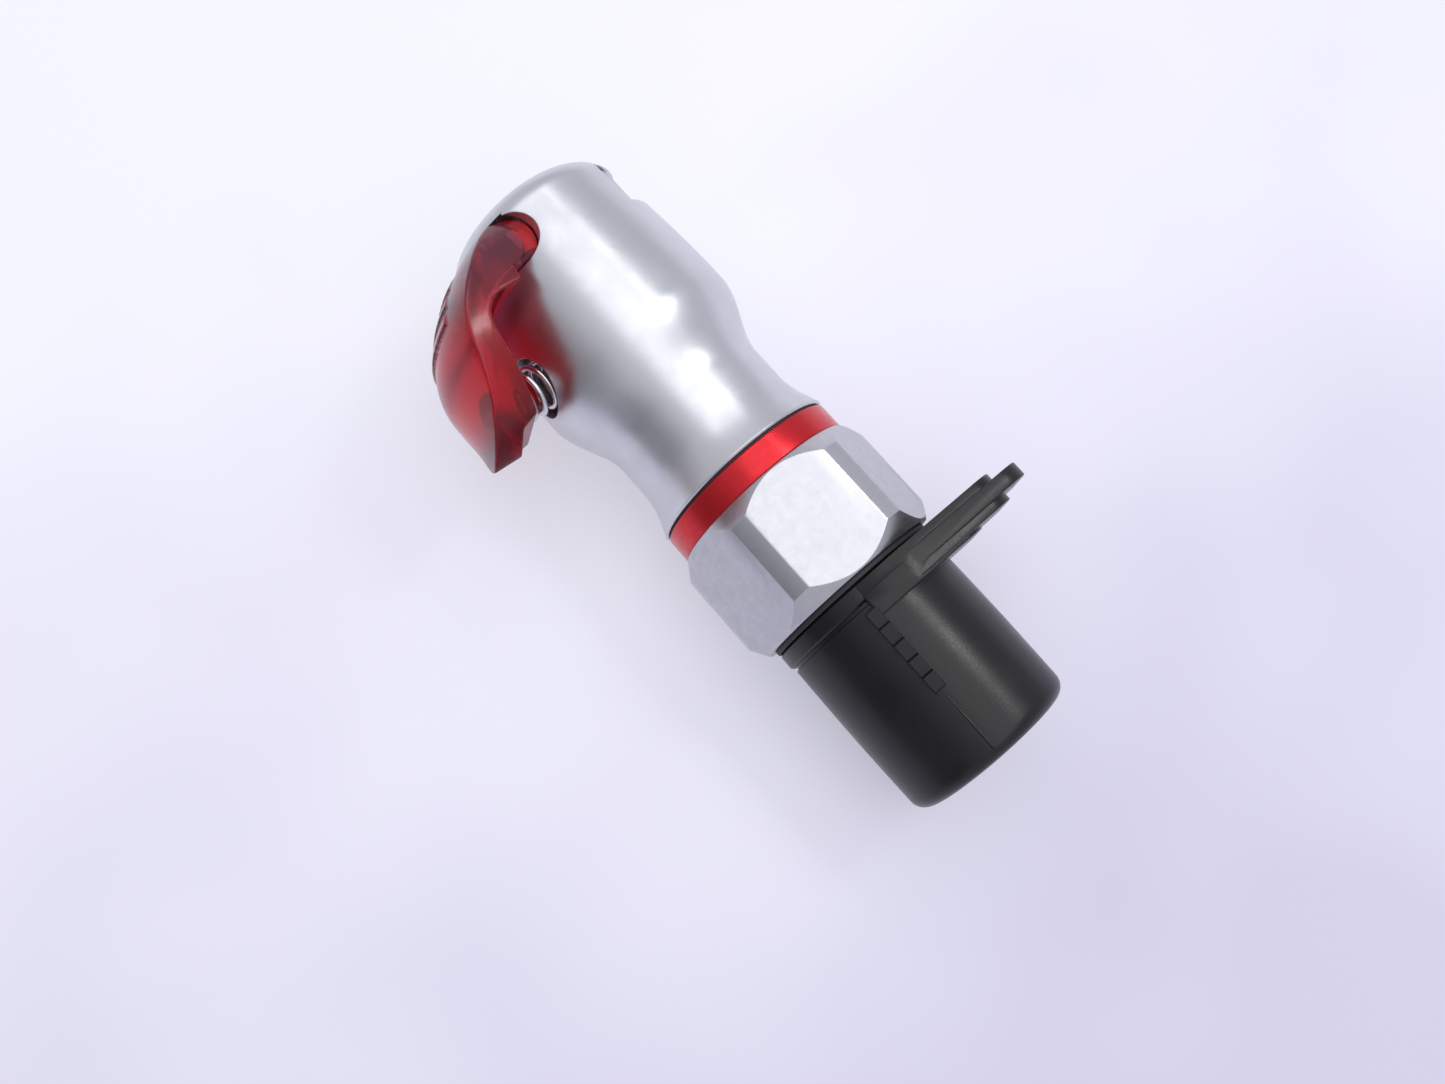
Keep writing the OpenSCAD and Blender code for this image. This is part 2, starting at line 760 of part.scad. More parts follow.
module protective_cap()
    color([0.03, 0.03, 0.035])
        difference() {
            union() {
                turned(concat(
                    [[0, cap_from], [flange_d / 2 - 0.3, cap_from], [flange_d / 2, cap_from + 0.3],
                     [flange_d / 2, cap_from + flange_l - 0.3],
                     [flange_d / 2 - 0.3, cap_from + flange_l],
                     [cap_d / 2 - groove_deep, cap_from + flange_l],
                     [cap_d / 2 - groove_deep, cap_from + flange_l + groove_w],
                     [cap_d / 2, cap_from + flange_l + groove_w]],
                    [for (a = [0:10:90])
                        [cap_d / 2 - cap_round * (1 - cos(a)), cap_to - cap_round * (1 - sin(a))]],
                    [[0, cap_to + 0.3]]));
                rotate([tab_turn, 0, 0])
                    pull_tab();
                for (s = [-1, 1])
                    rotate([tab_turn + s * 92, 0, 0])
                        grip_rib();
            }
            bar(grip_r, cap_from - 1, cap_from + grip_l);
            bar(grip_r - grip_step, cap_from, cap_to - cap_wall);
        }

head_body();
push_button();
latch_ring();
latch_pins();
button_spring();
spring_washer();
plug_seal();
inner_sleeve();
valve_seat();
seat_oring();
valve_poppet();
poppet_face();
valve_spring();
stem_cage();
retaining_ring();
rear_connector();
connector_oring();
ring_gasket();
colour_ring();
thread_washer();
protective_cap();
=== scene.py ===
"""Looks of a push-button safety coupling for compressed air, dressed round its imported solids.

The flow axis is X. Stations along it are depths behind the flat front face, in millimetres.
"""

import json
import logging
import math
from collections.abc import Sequence
from dataclasses import dataclass, field
from enum import Enum

import bmesh
import bpy
from mathutils import Matrix, Vector


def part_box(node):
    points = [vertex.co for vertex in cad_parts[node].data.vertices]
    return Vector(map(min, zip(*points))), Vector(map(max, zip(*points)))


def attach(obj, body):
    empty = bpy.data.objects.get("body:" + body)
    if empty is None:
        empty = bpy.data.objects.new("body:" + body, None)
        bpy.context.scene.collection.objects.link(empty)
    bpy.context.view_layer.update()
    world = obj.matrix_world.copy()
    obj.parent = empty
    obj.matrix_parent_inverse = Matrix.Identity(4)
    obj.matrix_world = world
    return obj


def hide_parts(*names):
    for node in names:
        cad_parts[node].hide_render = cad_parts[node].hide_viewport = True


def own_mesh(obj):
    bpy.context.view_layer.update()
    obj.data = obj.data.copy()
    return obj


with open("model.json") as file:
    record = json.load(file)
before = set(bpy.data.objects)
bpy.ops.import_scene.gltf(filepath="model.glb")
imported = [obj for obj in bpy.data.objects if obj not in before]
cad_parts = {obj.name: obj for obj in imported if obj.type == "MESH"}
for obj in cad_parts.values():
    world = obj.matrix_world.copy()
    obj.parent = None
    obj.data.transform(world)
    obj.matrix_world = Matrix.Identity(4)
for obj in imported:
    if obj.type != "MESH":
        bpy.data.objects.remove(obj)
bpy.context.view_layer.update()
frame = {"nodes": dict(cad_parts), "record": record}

LOG = logging.getLogger("coupling")
MM = 0.001
FLOW = Vector((1.0, 0.0, 0.0))
BEYOND = 50.0  # millimetres from the flow axis, outside every piece

Shape = bmesh.types.BMesh
Point = tuple[float, float]
Triple = tuple[float, float, float]


class Join(Enum):
    """How one shape is set against another."""

    CUT = "DIFFERENCE"
    ADD = "UNION"
    KEEP = "INTERSECT"


# ---------------------------------------------------------------- places read from the frame


def depths(node: str) -> Point:
    """Front and rear depth of a solid, in millimetres.

    Args:
        node: Name of the solid.

    Returns:
        The depth of its front end and that of its rear end.
    """
    low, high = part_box(node)
    return -high.x / MM, -low.x / MM


def middle(node: str) -> Vector:
    """Centre of a solid's box, in millimetres."""
    low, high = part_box(node)
    return (low + high) / 2 / MM


def widest(node: str) -> float:
    """Largest extent of a solid across the flow axis, in millimetres."""
    low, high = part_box(node)
    return max(high.y - low.y, high.z - low.z) / MM


def widest_z(node: str) -> float:
    """Extent of a solid along Z, in millimetres."""
    low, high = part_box(node)
    return (high.z - low.z) / MM


# ---------------------------------------------------------------- shaping tools


def shares(steps: int) -> list[float]:
    """Even shares from 0 to 1 in the given number of steps."""
    return [step / steps for step in range(steps + 1)]


def quarter(steps: int) -> list[float]:
    """Angles of a quarter turn in equal steps, from 0 to a right angle."""
    return [math.pi / 2 * step / steps for step in range(steps + 1)]


def turned(outline: Sequence[Point], steps: int = 192) -> Shape:
    """Turns an outline about the flow axis.

    Args:
        outline: Corners of the outline, as depth and radius. It is closed up, unless its two
            ends lie on the axis.
        steps: Number of steps round the axis.

    Returns:
        The solid of revolution.
    """
    shape = bmesh.new()
    corners = [shape.verts.new((-depth, radius, 0.0)) for depth, radius in outline]
    on_axis = outline[0][1] == 0.0 and outline[-1][1] == 0.0
    ends = corners[1:] if on_axis else corners[1:] + corners[:1]
    sides = [shape.edges.new(pair) for pair in zip(corners, ends)]
    bmesh.ops.spin(shape, geom=corners + sides, cent=(0, 0, 0), axis=FLOW, dvec=(0, 0, 0),
                   angle=math.tau, steps=steps, use_merge=True)
    return closed(shape)


def closed(shape: Shape) -> Shape:
    """Merges doubled corners of a shape and turns its faces outwards.

    Args:
        shape: The shape to clean.

    Returns:
        The same shape.
    """
    bmesh.ops.remove_doubles(shape, verts=shape.verts[:], dist=1e-4)
    bmesh.ops.recalc_face_normals(shape, faces=shape.faces[:])
    return shape


def prism(outline: Sequence[Vector], along: Vector) -> Shape:
    """Extrudes a flat outline.

    Args:
        outline: Corners of the flat outline.
        along: Direction and length of the extrusion.

    Returns:
        The prism.
    """
    shape = bmesh.new()
    face = shape.faces.new([shape.verts.new(corner) for corner in outline])
    grown = bmesh.ops.extrude_face_region(shape, geom=[face], use_keep_orig=True)
    moved = [item for item in grown["geom"] if isinstance(item, bmesh.types.BMVert)]
    bmesh.ops.translate(shape, verts=moved, vec=along)
    return closed(shape)


def crosswise(outline: Sequence[Point], width: float) -> Shape:
    """Extrudes an outline across the flow axis, to both sides of the plane Z = 0.

    Args:
        outline: Corners of the outline, as depth and height above the axis.
        width: Width of the extrusion.

    Returns:
        The prism.
    """
    corners = [Vector((-depth, height, -width / 2)) for depth, height in outline]
    return prism(corners, Vector((0, 0, width)))


def pin(start: Vector, end: Vector, radius: float, segments: int = 64) -> Shape:
    """Round pin between two points.

    Args:
        start: Centre of one end.
        end: Centre of the other end.
        radius: Radius of the pin.
        segments: Number of sides.

    Returns:
        The pin.
    """
    shape = bmesh.new()
    way = end - start
    turn = way.to_track_quat("Z", "Y").to_matrix().to_4x4()
    bmesh.ops.create_cone(shape, cap_ends=True, segments=segments, radius1=radius, radius2=radius,
                          depth=way.length, matrix=Matrix.Translation((start + end) / 2) @ turn)
    return closed(shape)


def bar(front: float, rear: float, radius: float, segments: int) -> Shape:
    """Round bar on the flow axis, between two depths."""
    return pin(Vector((-front, 0, 0)), Vector((-rear, 0, 0)), radius, segments)


def coil(centre: Vector, way: Vector, radius: float, wire: float, length: float,
         turns: float) -> Shape:
    """Coil spring with closed end turns, swept by a circle in helical steps.

    Args:
        centre: Middle of the spring's first end.
        way: Direction in which the spring stands.
        radius: Radius of the wire's centre line.
        wire: Diameter of the wire.
        length: Length of the spring.
        turns: Number of turns, with the two closed ones.

    Returns:
        The spring.
    """
    steps = 40
    shape = bmesh.new()
    seat = Matrix.Translation((radius, 0, wire / 2)) @ Matrix.Rotation(math.pi / 2, 4, "X")
    ring = bmesh.ops.create_circle(shape, cap_ends=False, segments=14, radius=wire / 2, matrix=seat)
    geometry = ring["verts"] + shape.edges[:]
    first = list(geometry)
    rise = (length - 3 * wire) / (turns - 2)
    for share, lift in ((1.0, wire), (turns - 2, rise), (1.0, wire)):
        count = round(steps * share)
        swept = bmesh.ops.spin(shape, geom=geometry, cent=(0, 0, 0), axis=(0, 0, 1),
                               dvec=(0, 0, lift * share / count), angle=math.tau * share,
                               steps=count)
        geometry = swept["geom_last"]
    for end in (first, geometry):
        rim = [item for item in end if isinstance(item, bmesh.types.BMEdge)]
        bmesh.ops.contextual_create(shape, geom=rim)
    turn = way.to_track_quat("Z", "Y").to_matrix().to_4x4()
    bmesh.ops.transform(shape, matrix=Matrix.Translation(centre) @ turn, verts=shape.verts[:])
    bmesh.ops.recalc_face_normals(shape, faces=shape.faces[:])
    return shape


def loose(name: str, shape: Shape) -> bpy.types.Object:
    """Puts a shape into the scene as an object, and frees the shape.

    Args:
        name: Name of the object.
        shape: The shape to use up.

    Returns:
        The object.
    """
    mesh = bpy.data.meshes.new(name)
    shape.to_mesh(mesh)
    shape.free()
    piece = bpy.data.objects.new(name, mesh)
    bpy.context.scene.collection.objects.link(piece)
    return piece


def settled(piece: bpy.types.Object) -> Shape:
    """Takes an object's shape with its modifiers applied, and removes the object.

    Args:
        piece: The object to use up.

    Returns:
        Its final shape.
    """
    bpy.context.view_layer.update()
    final = piece.evaluated_get(bpy.context.evaluated_depsgraph_get())
    shape = bmesh.new()
    shape.from_mesh(final.to_mesh())
    final.to_mesh_clear()
    mesh = piece.data
    bpy.data.objects.remove(piece)
    bpy.data.meshes.remove(mesh)
    return shape


def joined(base: Shape, tool: Shape, how: Join) -> Shape:
    """Sets a tool shape against a base shape.

    Args:
        base: The shape that is worked on.
        tool: The shape that cuts it, is added to it or bounds it.
        how: Which of the three.

    Returns:
        The resulting shape; the two given shapes are used up.
    """
    body, cutter = loose("base", base), loose("tool", tool)
    step = body.modifiers.new("join", "BOOLEAN")
    step.operation = how.value
    step.solver = "EXACT"
    step.object = cutter
    shape = settled(body)
    mesh = cutter.data
    bpy.data.objects.remove(cutter)
    bpy.data.meshes.remove(mesh)
    return shape


def moulded(shape: Shape, grid: float, passes: int) -> Shape:
    """Rounds every edge of a shape a little, as a mould does.

    Args:
        shape: The sharp shape, which is used up.
        grid: Size of the new faces, in millimetres.
        passes: How often the corners are evened out.

    Returns:
        The rounded shape.
    """
    piece = loose("sharp", shape)
    step = piece.modifiers.new("mould", "REMESH")
    step.mode = "VOXEL"
    step.voxel_size = grid
    soft = settled(piece)
    for _ in range(passes):
        bmesh.ops.smooth_vert(soft, verts=soft.verts[:], factor=0.5, use_axis_x=True,
                              use_axis_y=True, use_axis_z=True)
    return soft


def eased(shape: Shape, width: float, angle: float, segments: int) -> Shape:
    """Rounds the sharp edges of a shape whose faces are large.

    Args:
        shape: The shape.
        width: Width of the rounding, in millimetres.
        angle: Only edges that turn more than this are rounded, in degrees.
        segments: Number of steps in the rounding.

    Returns:
        The same shape.
    """
    limit = math.radians(angle)
    sharp = [edge for edge in shape.edges if edge.is_manifold and edge.calc_face_angle() > limit]
    bmesh.ops.bevel(shape, geom=sharp, offset=width, offset_type="OFFSET", affect="EDGES",
                    segments=segments, profile=0.5, material=-1, clamp_overlap=True)
    return shape


def turned_about(shape: Shape, degrees: float) -> Shape:
    """Turns a shape about the flow axis, from +Y towards +Z.

    Args:
        shape: The shape.
        degrees: The angle.

    Returns:
        The same shape.
    """
    turn = Matrix.Rotation(math.radians(degrees), 3, "X")
    bmesh.ops.rotate(shape, verts=shape.verts[:], cent=(0, 0, 0), matrix=turn)
    return shape


# ---------------------------------------------------------------- node drawing


class Sheet:
    """A node tree that is drawn by short calls."""

    def __init__(self, tree: bpy.types.NodeTree) -> None:
        """Starts on an empty tree."""
        self.tree = tree
        tree.nodes.clear()

    def node(self, kind: str, inputs: dict | None = None, **settings: object) -> bpy.types.Node:
        """Adds a node.

        Args:
            kind: Type name of the node, without the leading word Shader.
            inputs: Values or sockets for its inputs, by name or number.
            settings: Properties of the node.

        Returns:
            The node.
        """
        made = self.tree.nodes.new(kind if kind.startswith("Node") else "ShaderNode" + kind)
        for name, value in settings.items():
            setattr(made, name, value)
        for name, value in (inputs or {}).items():
            if isinstance(value, bpy.types.NodeSocket):
                self.tree.links.new(value, made.inputs[name])
            else:
                made.inputs[name].default_value = value
        return made

    def ramp(self, factor: bpy.types.NodeSocket, stops: Sequence[tuple]) -> bpy.types.NodeSocket:
        """Adds a colour ramp.

        Args:
            factor: The value that is looked up.
            stops: Pairs of place and colour.

        Returns:
            The ramp's colour socket.
        """
        made = self.node("ValToRGB", {"Fac": factor})
        while len(made.color_ramp.elements) < len(stops):
            made.color_ramp.elements.new(0.5)
        for element, (place, colour) in zip(made.color_ramp.elements, stops):
            element.position = place
            element.color = (*colour, 1.0)
        return made.outputs["Color"]

    def spread(self, value: bpy.types.NodeSocket, low: float, high: float, to_low: object,
               to_high: object) -> bpy.types.NodeSocket:
        """Maps a range of values to another range.

        Args:
            value: The value to map.
            low: Value that becomes to_low.
            high: Value that becomes to_high.
            to_low: Lowest result, a number or a socket.
            to_high: Highest result, a number or a socket.

        Returns:
            The result's socket.
        """
        inputs = {0: value, 1: low, 2: high, 3: to_low, 4: to_high}
        return self.node("MapRange", inputs).outputs["Result"]

    def worked(self, kind: str, a: object, b: object) -> bpy.types.NodeSocket:
        """Works a result out of two values, with a math node of the given kind."""
        return self.node("Math", {0: a, 1: b}, operation=kind).outputs[0]

    def mixed(self, share: object, a: object, b: object) -> bpy.types.NodeSocket:
        """Blends two colours.

        Args:
            share: How much of the second colour shows.
            a: First colour.
            b: Second colour.

        Returns:
            The blended colour's socket.
        """
        return self.node("Mix", {0: share, 6: a, 7: b}, data_type="RGBA").outputs[2]


def grain_group() -> bpy.types.NodeTree:
    """Group for the grain that every finish has: fine pits and broad clouds.

    Returns:
        The node group.
    """
    found = bpy.data.node_groups.get("surface_grain")
    if found:
        return found
    tree = bpy.data.node_groups.new("surface_grain", "ShaderNodeTree")
    interface = tree.interface
    for name, kind, value in (
            ("Colour", "NodeSocketColor", (0.5, 0.5, 0.5, 1.0)),
            ("Cloud Colour", "NodeSocketColor", (0.5, 0.5, 0.5, 1.0)),
            ("Stretch", "NodeSocketVector", (1.0, 1.0, 1.0)),
            ("Grain Size", "NodeSocketFloat", 0.2),
            ("Cloud Size", "NodeSocketFloat", 6.0),
            ("Clouds", "NodeSocketFloat", 0.3),
            ("Smooth", "NodeSocketFloat", 0.2),
            ("Rough", "NodeSocketFloat", 0.4)):
        socket = interface.new_socket(name=name, in_out="INPUT", socket_type=kind)
        socket.default_value = value
    for name, kind in (("Colour", "NodeSocketColor"), ("Roughness", "NodeSocketFloat"),
                       ("Height", "NodeSocketFloat")):
        interface.new_socket(name=name, in_out="OUTPUT", socket_type=kind)
    sheet = Sheet(tree)
    given = sheet.node("NodeGroupInput").outputs
    place = sheet.node("TexCoord").outputs["Object"]
    laid = sheet.node("VectorMath", {0: place, 1: given["Stretch"]}, operation="MULTIPLY")
    fine_scale = sheet.worked("DIVIDE", 1.0 / MM, given["Grain Size"])
    broad_scale = sheet.worked("DIVIDE", 1.0 / MM, given["Cloud Size"])
    fine = sheet.node("TexNoise", {"Vector": laid.outputs[0], "Scale": fine_scale, "Detail": 3.0,
                                   "Roughness": 0.6})
    broad = sheet.node("TexNoise", {"Vector": laid.outputs[0], "Scale": broad_scale,
                                    "Detail": 4.0, "Roughness": 0.55, "Distortion": 0.4})
    cloud = sheet.spread(broad.outputs["Fac"], 0.38, 0.66, 0.0, given["Clouds"])
    colour = sheet.mixed(cloud, given["Colour"], given["Cloud Colour"])
    pits = sheet.spread(fine.outputs["Fac"], 0.3, 0.7, given["Smooth"], given["Rough"])
    shade = sheet.spread(broad.outputs["Fac"], 0.3, 0.75, 0.88, 1.15)
    rough = sheet.worked("MULTIPLY", pits, shade)
    sheet.node("NodeGroupOutput", {"Colour": colour, "Roughness": rough,
                                   "Height": fine.outputs["Fac"]})
    return tree


@dataclass(frozen=True)
class Finish:
    """One finish: its colours, its grain and its plain shader values."""

    slot: str
    colour: Triple
    cloud: Triple
    smooth: float
    rough: float
    metal: float = 0.0
    stretch: Triple = (1.0, 1.0, 1.0)
    grain_mm: float = 0.2
    cloud_mm: float = 6.0
    clouds: float = 0.4
    bump: float = 0.1
    depth_mm: float = 0.01
    edge_mm: float = 0.0
    coat: float = 0.0
    coat_rough: float = 0.05
    ior: float = 1.5
    through: float = 0.0

    def material(self) -> bpy.types.Material:
        """Draws the material, or finds it if it was drawn before.

        Returns:
            The material.
        """
        found = bpy.data.materials.get(self.slot)
        if found and found.get("drawn"):
            return found
        made = found or bpy.data.materials.new(self.slot)
        made.use_nodes = True
        made["drawn"] = True
        sheet = Sheet(made.node_tree)
        grain = self.grain(sheet)
        colour = self.tinted(sheet, grain.outputs["Colour"])
        bump = {"Height": grain.outputs["Height"], "Strength": self.bump,
                "Distance": self.depth_mm * MM}
        if self.edge_mm:
            soft = sheet.node("Bevel", {"Radius": self.edge_mm * MM}, samples=6)
            bump["Normal"] = soft.outputs["Normal"]
        relief = sheet.node("Bump", bump)
        shader = sheet.node("BsdfPrincipled", {
            "Base Color": colour, "Roughness": grain.outputs["Roughness"],
            "Metallic": self.metal, "IOR": self.ior, "Coat Weight": self.coat,
            "Coat Roughness": self.coat_rough, "Transmission Weight": self.through,
            "Normal": relief.outputs["Normal"]})
        sheet.node("OutputMaterial", {"Surface": shader.outputs["BSDF"]})
        return made

    def grain(self, sheet: Sheet) -> bpy.types.Node:
        """Places the shared grain group with this finish's values.

        Args:
            sheet: The material's node tree.

        Returns:
            The group's node.
        """
        group = sheet.node("Group")
        group.node_tree = grain_group()
        values = {"Colour": (*self.colour, 1.0), "Cloud Colour": (*self.cloud, 1.0),
                  "Stretch": self.stretch, "Grain Size": self.grain_mm,
                  "Cloud Size": self.cloud_mm, "Clouds": self.clouds, "Smooth": self.smooth,
                  "Rough": self.rough}
        for name, value in values.items():
            group.inputs[name].default_value = value
        return group

    def tinted(self, sheet: Sheet, colour: bpy.types.NodeSocket) -> bpy.types.NodeSocket:
        """Leaves the grain's colour as it is; some finishes add to it."""
        return colour


@dataclass(frozen=True)
class Ruby(Finish):
    """Translucent red with painted light: a painted sheen at the slot, painted shade that darkens
    the tip and a painted red glow in the legs.
    """

    # painted sheen: a pale purple haze of reflected room light, painted into the colour at the slot
    painted_sheen: Triple = (0.26, 0.07, 0.13)
    painted_sheen_ends: Point = (12.5, 8.0)
    painted_sheen_share: float = 0.8
    # painted shade: the red is darker towards the tip
    painted_shade: Triple = (0.13, 0.002, 0.014)
    painted_shade_ends: Point = (20.0, 25.0)
    painted_shade_share: float = 0.85
    # painted glow: bright red light shining through the legs, painted into their colour
    painted_glow: Triple = (1.0, 0.025, 0.035)
    painted_glow_ends: Point = (9.0, 8.0)

    def tinted(self, sheet: Sheet, colour: bpy.types.NodeSocket) -> bpy.types.NodeSocket:
        """Blends in the painted sheen and the painted shade by depth, and the painted red glow by
        height.

        Args:
            sheet: The material's node tree.
            colour: The grain's colour.

        Returns:
            The blended colour's socket.
        """
        place = sheet.node("TexCoord").outputs["Object"]
        along = sheet.node("SeparateXYZ", {"Vector": place}).outputs
        none, full = (-end * MM for end in self.painted_sheen_ends)
        # painted sheen, by depth near the slot
        sheen_at_slot = sheet.spread(along["X"], none, full, 0.0, self.painted_sheen_share)
        none, full = (-end * MM for end in self.painted_shade_ends)
        # painted shade, by depth towards the tip
        shade_at_tip = sheet.spread(along["X"], none, full, 0.0, self.painted_shade_share)
        none, full = (end * MM for end in self.painted_glow_ends)
        # painted red glow, by height in the legs
        glow_in_legs = sheet.spread(along["Y"], none, full, 0.0, 1.0)
        shade = sheet.mixed(sheen_at_slot, colour, (*self.painted_sheen, 1.0))
        shade = sheet.mixed(shade_at_tip, shade, (*self.painted_shade, 1.0))
        return sheet.mixed(glow_in_legs, shade, (*self.painted_glow, 1.0))


SATIN = Finish("satin_aluminium", (0.63, 0.64, 0.67), (0.58, 0.59, 0.62), 0.29, 0.37, metal=1.0,
               stretch=(1.2, 1.0, 1.0), grain_mm=0.14, cloud_mm=3.5, bump=0.16, depth_mm=0.012,
               edge_mm=0.18)
MILLED = Finish("milled_aluminium", (0.54, 0.54, 0.57), (0.47, 0.48, 0.5), 0.28, 0.38, metal=1.0,
                grain_mm=0.25, cloud_mm=1.2, clouds=0.5, bump=0.05, edge_mm=0.1)
RUBY = Ruby("red_button", (0.66, 0.004, 0.014), (0.55, 0.005, 0.018), 0.17, 0.25, grain_mm=0.5,
            cloud_mm=5.0, bump=0.03, depth_mm=0.005, coat=0.1, coat_rough=0.3, ior=1.4,
            through=0.84)
RED_RING = Finish("red_ring", (0.62, 0.012, 0.02), (0.5, 0.01, 0.018), 0.26, 0.36, metal=0.85,
                  stretch=(3.0, 1.0, 1.0), cloud_mm=2.0, clouds=0.6, depth_mm=0.02, coat=0.35,
                  coat_rough=0.22)
STEEL = Finish("steel", (0.55, 0.55, 0.57), (0.42, 0.42, 0.45), 0.24, 0.4, metal=1.0,
               stretch=(0.3, 1.0, 1.0), grain_mm=0.15, clouds=0.6)
SPRING_STEEL = Finish("spring_steel", (0.66, 0.67, 0.7), (0.5, 0.51, 0.54), 0.14, 0.26, metal=1.0,
                      clouds=0.5, bump=0.06)
BRASS = Finish("brass", (0.78, 0.6, 0.3), (0.66, 0.48, 0.22), 0.2, 0.34, metal=1.0,
               stretch=(3.0, 1.0, 1.0), clouds=0.5)
RUBBER = Finish("black_rubber", (0.022, 0.022, 0.025), (0.04, 0.04, 0.042), 0.55, 0.75,
                grain_mm=0.1, clouds=0.5, bump=0.2)
BLACK_CAP = Finish("black_cap", (0.006, 0.0055, 0.006), (0.011, 0.010, 0.011), 0.27, 0.36,
                   grain_mm=0.16, cloud_mm=7.0, clouds=0.5, bump=0.14, depth_mm=0.03,
                   edge_mm=0.15, ior=1.42)
FINISHES: dict[str, Finish] = {finish.slot: finish for finish in (
    SATIN, MILLED, RUBY, RED_RING, STEEL, SPRING_STEEL, BRASS, RUBBER, BLACK_CAP)}


def show(name: str, shape: Shape, body: str, finish: Finish, node: str,
         crease: float = 32.0) -> bpy.types.Object:
    """Puts a finished shape in the scene on its body, in place of its solid.

    Args:
        name: Name of the piece.
        shape: Its shape in millimetres, which is used up.
        body: Body of the frame that it moves with.
        finish: Its finish.
        node: Solid of the frame that it stands for.
        crease: Angle above which an edge stays sharp, in degrees.

    Returns:
        The piece.
    """
    bmesh.ops.scale(shape, vec=(MM, MM, MM), verts=shape.verts[:])
    piece = loose(name, shape)
    piece.data.polygons.foreach_set("use_smooth", [True] * len(piece.data.polygons))
    piece.data.set_sharp_from_angle(angle=math.radians(crease))
    piece.data.materials.append(finish.material())
    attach(piece, body)
    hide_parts(node)
    LOG.info("%s: %d faces on %s", name, len(piece.data.polygons), body)
    return piece


# ---------------------------------------------------------------- the head


@dataclass
class Head:
    """The turned head with its button slot, latch notch and spring hole."""

    front_r: float = 13.9
    bulge_r: float = 15.1
    bulge_at: float = 24.2
    neck_r: float = 11.85
    neck_from: float = 35.0
    neck_l: float = 4.4
    collar_r: float = 13.45
    nose: float = 4.0
    edge: float = 0.25
    mouth_r: float = 6.6
    lead_in: float = 0.8
    sleeve_gap: float = 0.02
    valve_gap: float = 0.05
    slot_floor: float = 6.0
    slot_front: float = 2.6
    slot_w: float = 7.5
    notch_floor: float = 7.4
    pocket_drop: float = 2.3
    pocket_w: float = 22.2
    latch_t: float = 3.0
    slit_gap: float = 0.1
    hole_r: float = 4.15
    sink_in: float = 0.1
    sink_out: float = 0.5
    sink_h: float = 2.4
    length: float = field(init=False)

    def __post_init__(self) -> None:
        """Takes the head's length from its solid."""
        self.length = depths("head_body")[1]

    def skin(self) -> list[Point]:
        """Outer outline from the front face to the rear collar.

        Returns:
            Points as depth and radius.
        """
        points = [(self.nose * (1 - math.cos(a)), self.front_r - self.nose * (1 - math.sin(a)))
                  for a in quarter(15)]
        for share in shares(28)[1:]:
            rise = (self.bulge_r - self.front_r) * math.sin(math.pi / 2 * share)
            points.append((self.nose + (self.bulge_at - self.nose) * share, self.front_r + rise))
        for share in shares(36)[1:]:
            fall = (self.bulge_r - self.neck_r) * (1 - math.cos(math.pi * share)) / 2
            depth = self.bulge_at + (self.neck_from - self.bulge_at) * share
            points.append((depth, self.bulge_r - fall))
        start = self.neck_from + self.neck_l
        for share in shares(24):
            rise = (self.collar_r - self.neck_r) * (1 - math.cos(math.pi / 2 * share))
            points.append((start + (self.length - self.edge - start) * share, self.neck_r + rise))
        return points + [(self.length, self.collar_r - self.edge)]

    def bore(self) -> list[Point]:
        """Inner outline from the rear end to the mouth.

        Returns:
            Points as depth and radius.
        """
        seal_from = depths("plug_seal")[0]
        sleeve_to = depths("inner_sleeve")[1]
        sleeve_r = widest("inner_sleeve") / 2 + self.sleeve_gap
        valve_r = widest("valve_seat") / 2 + self.valve_gap
        return [(self.length, valve_r), (sleeve_to, valve_r), (sleeve_to, sleeve_r),
                (seal_from, sleeve_r), (seal_from, self.mouth_r), (self.lead_in, self.mouth_r),
                (0.0, self.mouth_r + self.lead_in)]

    def slot(self, floor: float, width: float, gap: float = 0.0, steps: int = 48) -> Shape:
        """Upright block with a round floor, which cuts the slot or fits in it.

        Args:
            floor: Height of its lowest line above the axis.
            width: Its extent across the head.
            gap: Clearance that it leaves to each wall of the slot.
            steps: Number of steps round its floor.

        Returns:
            The block.
        """
        radius = self.slot_w / 2 - gap
        centre = self.slot_front + self.slot_w / 2
        arc = [math.pi * (1 + share) for share in shares(steps)]
        outline = [(centre - radius * math.cos(a), floor + radius + radius * math.sin(a))
                   for a in arc]
        outline += [(centre - radius, BEYOND), (centre + radius, BEYOND)]
        return crosswise(outline, width)

    def notch(self) -> Shape:
        """Cutter for the flat notch on the far side, where the latch plate's end shows.

        Returns:
            The cutter.
        """
        rear = self.slot_front + self.slot_w
        return crosswise([(self.slot_front, -self.notch_floor), (rear, -self.notch_floor),
                          (rear, -BEYOND), (self.slot_front, -BEYOND)], 2 * BEYOND)

    def slit(self) -> Shape:
        """Cutter for the slit that the latch plate slides in.

        Returns:
            The cutter.
        """
        rear = depths("latch_ring")[1] + self.slit_gap
        front = rear - self.latch_t - 2 * self.slit_gap
        return crosswise([(front, -BEYOND), (front, BEYOND), (rear, BEYOND), (rear, -BEYOND)],
                         widest_z("latch_ring") + 2 * self.slit_gap)

    def countersink(self, rim: Vector) -> Shape:
        """Cutter that eases the rim of the spring's hole.

        Args:
            rim: Where the hole's axis leaves the head.

        Returns:
            The cutter.
        """
        shape = bmesh.new()
        place = Matrix.Translation(rim) @ Matrix.Rotation(-math.pi / 2, 4, "X")
        bmesh.ops.create_cone(shape, cap_ends=True, segments=96, depth=self.sink_h, matrix=place,
                              radius1=self.hole_r - self.sink_in,
                              radius2=self.hole_r + self.sink_out)
        return closed(shape)

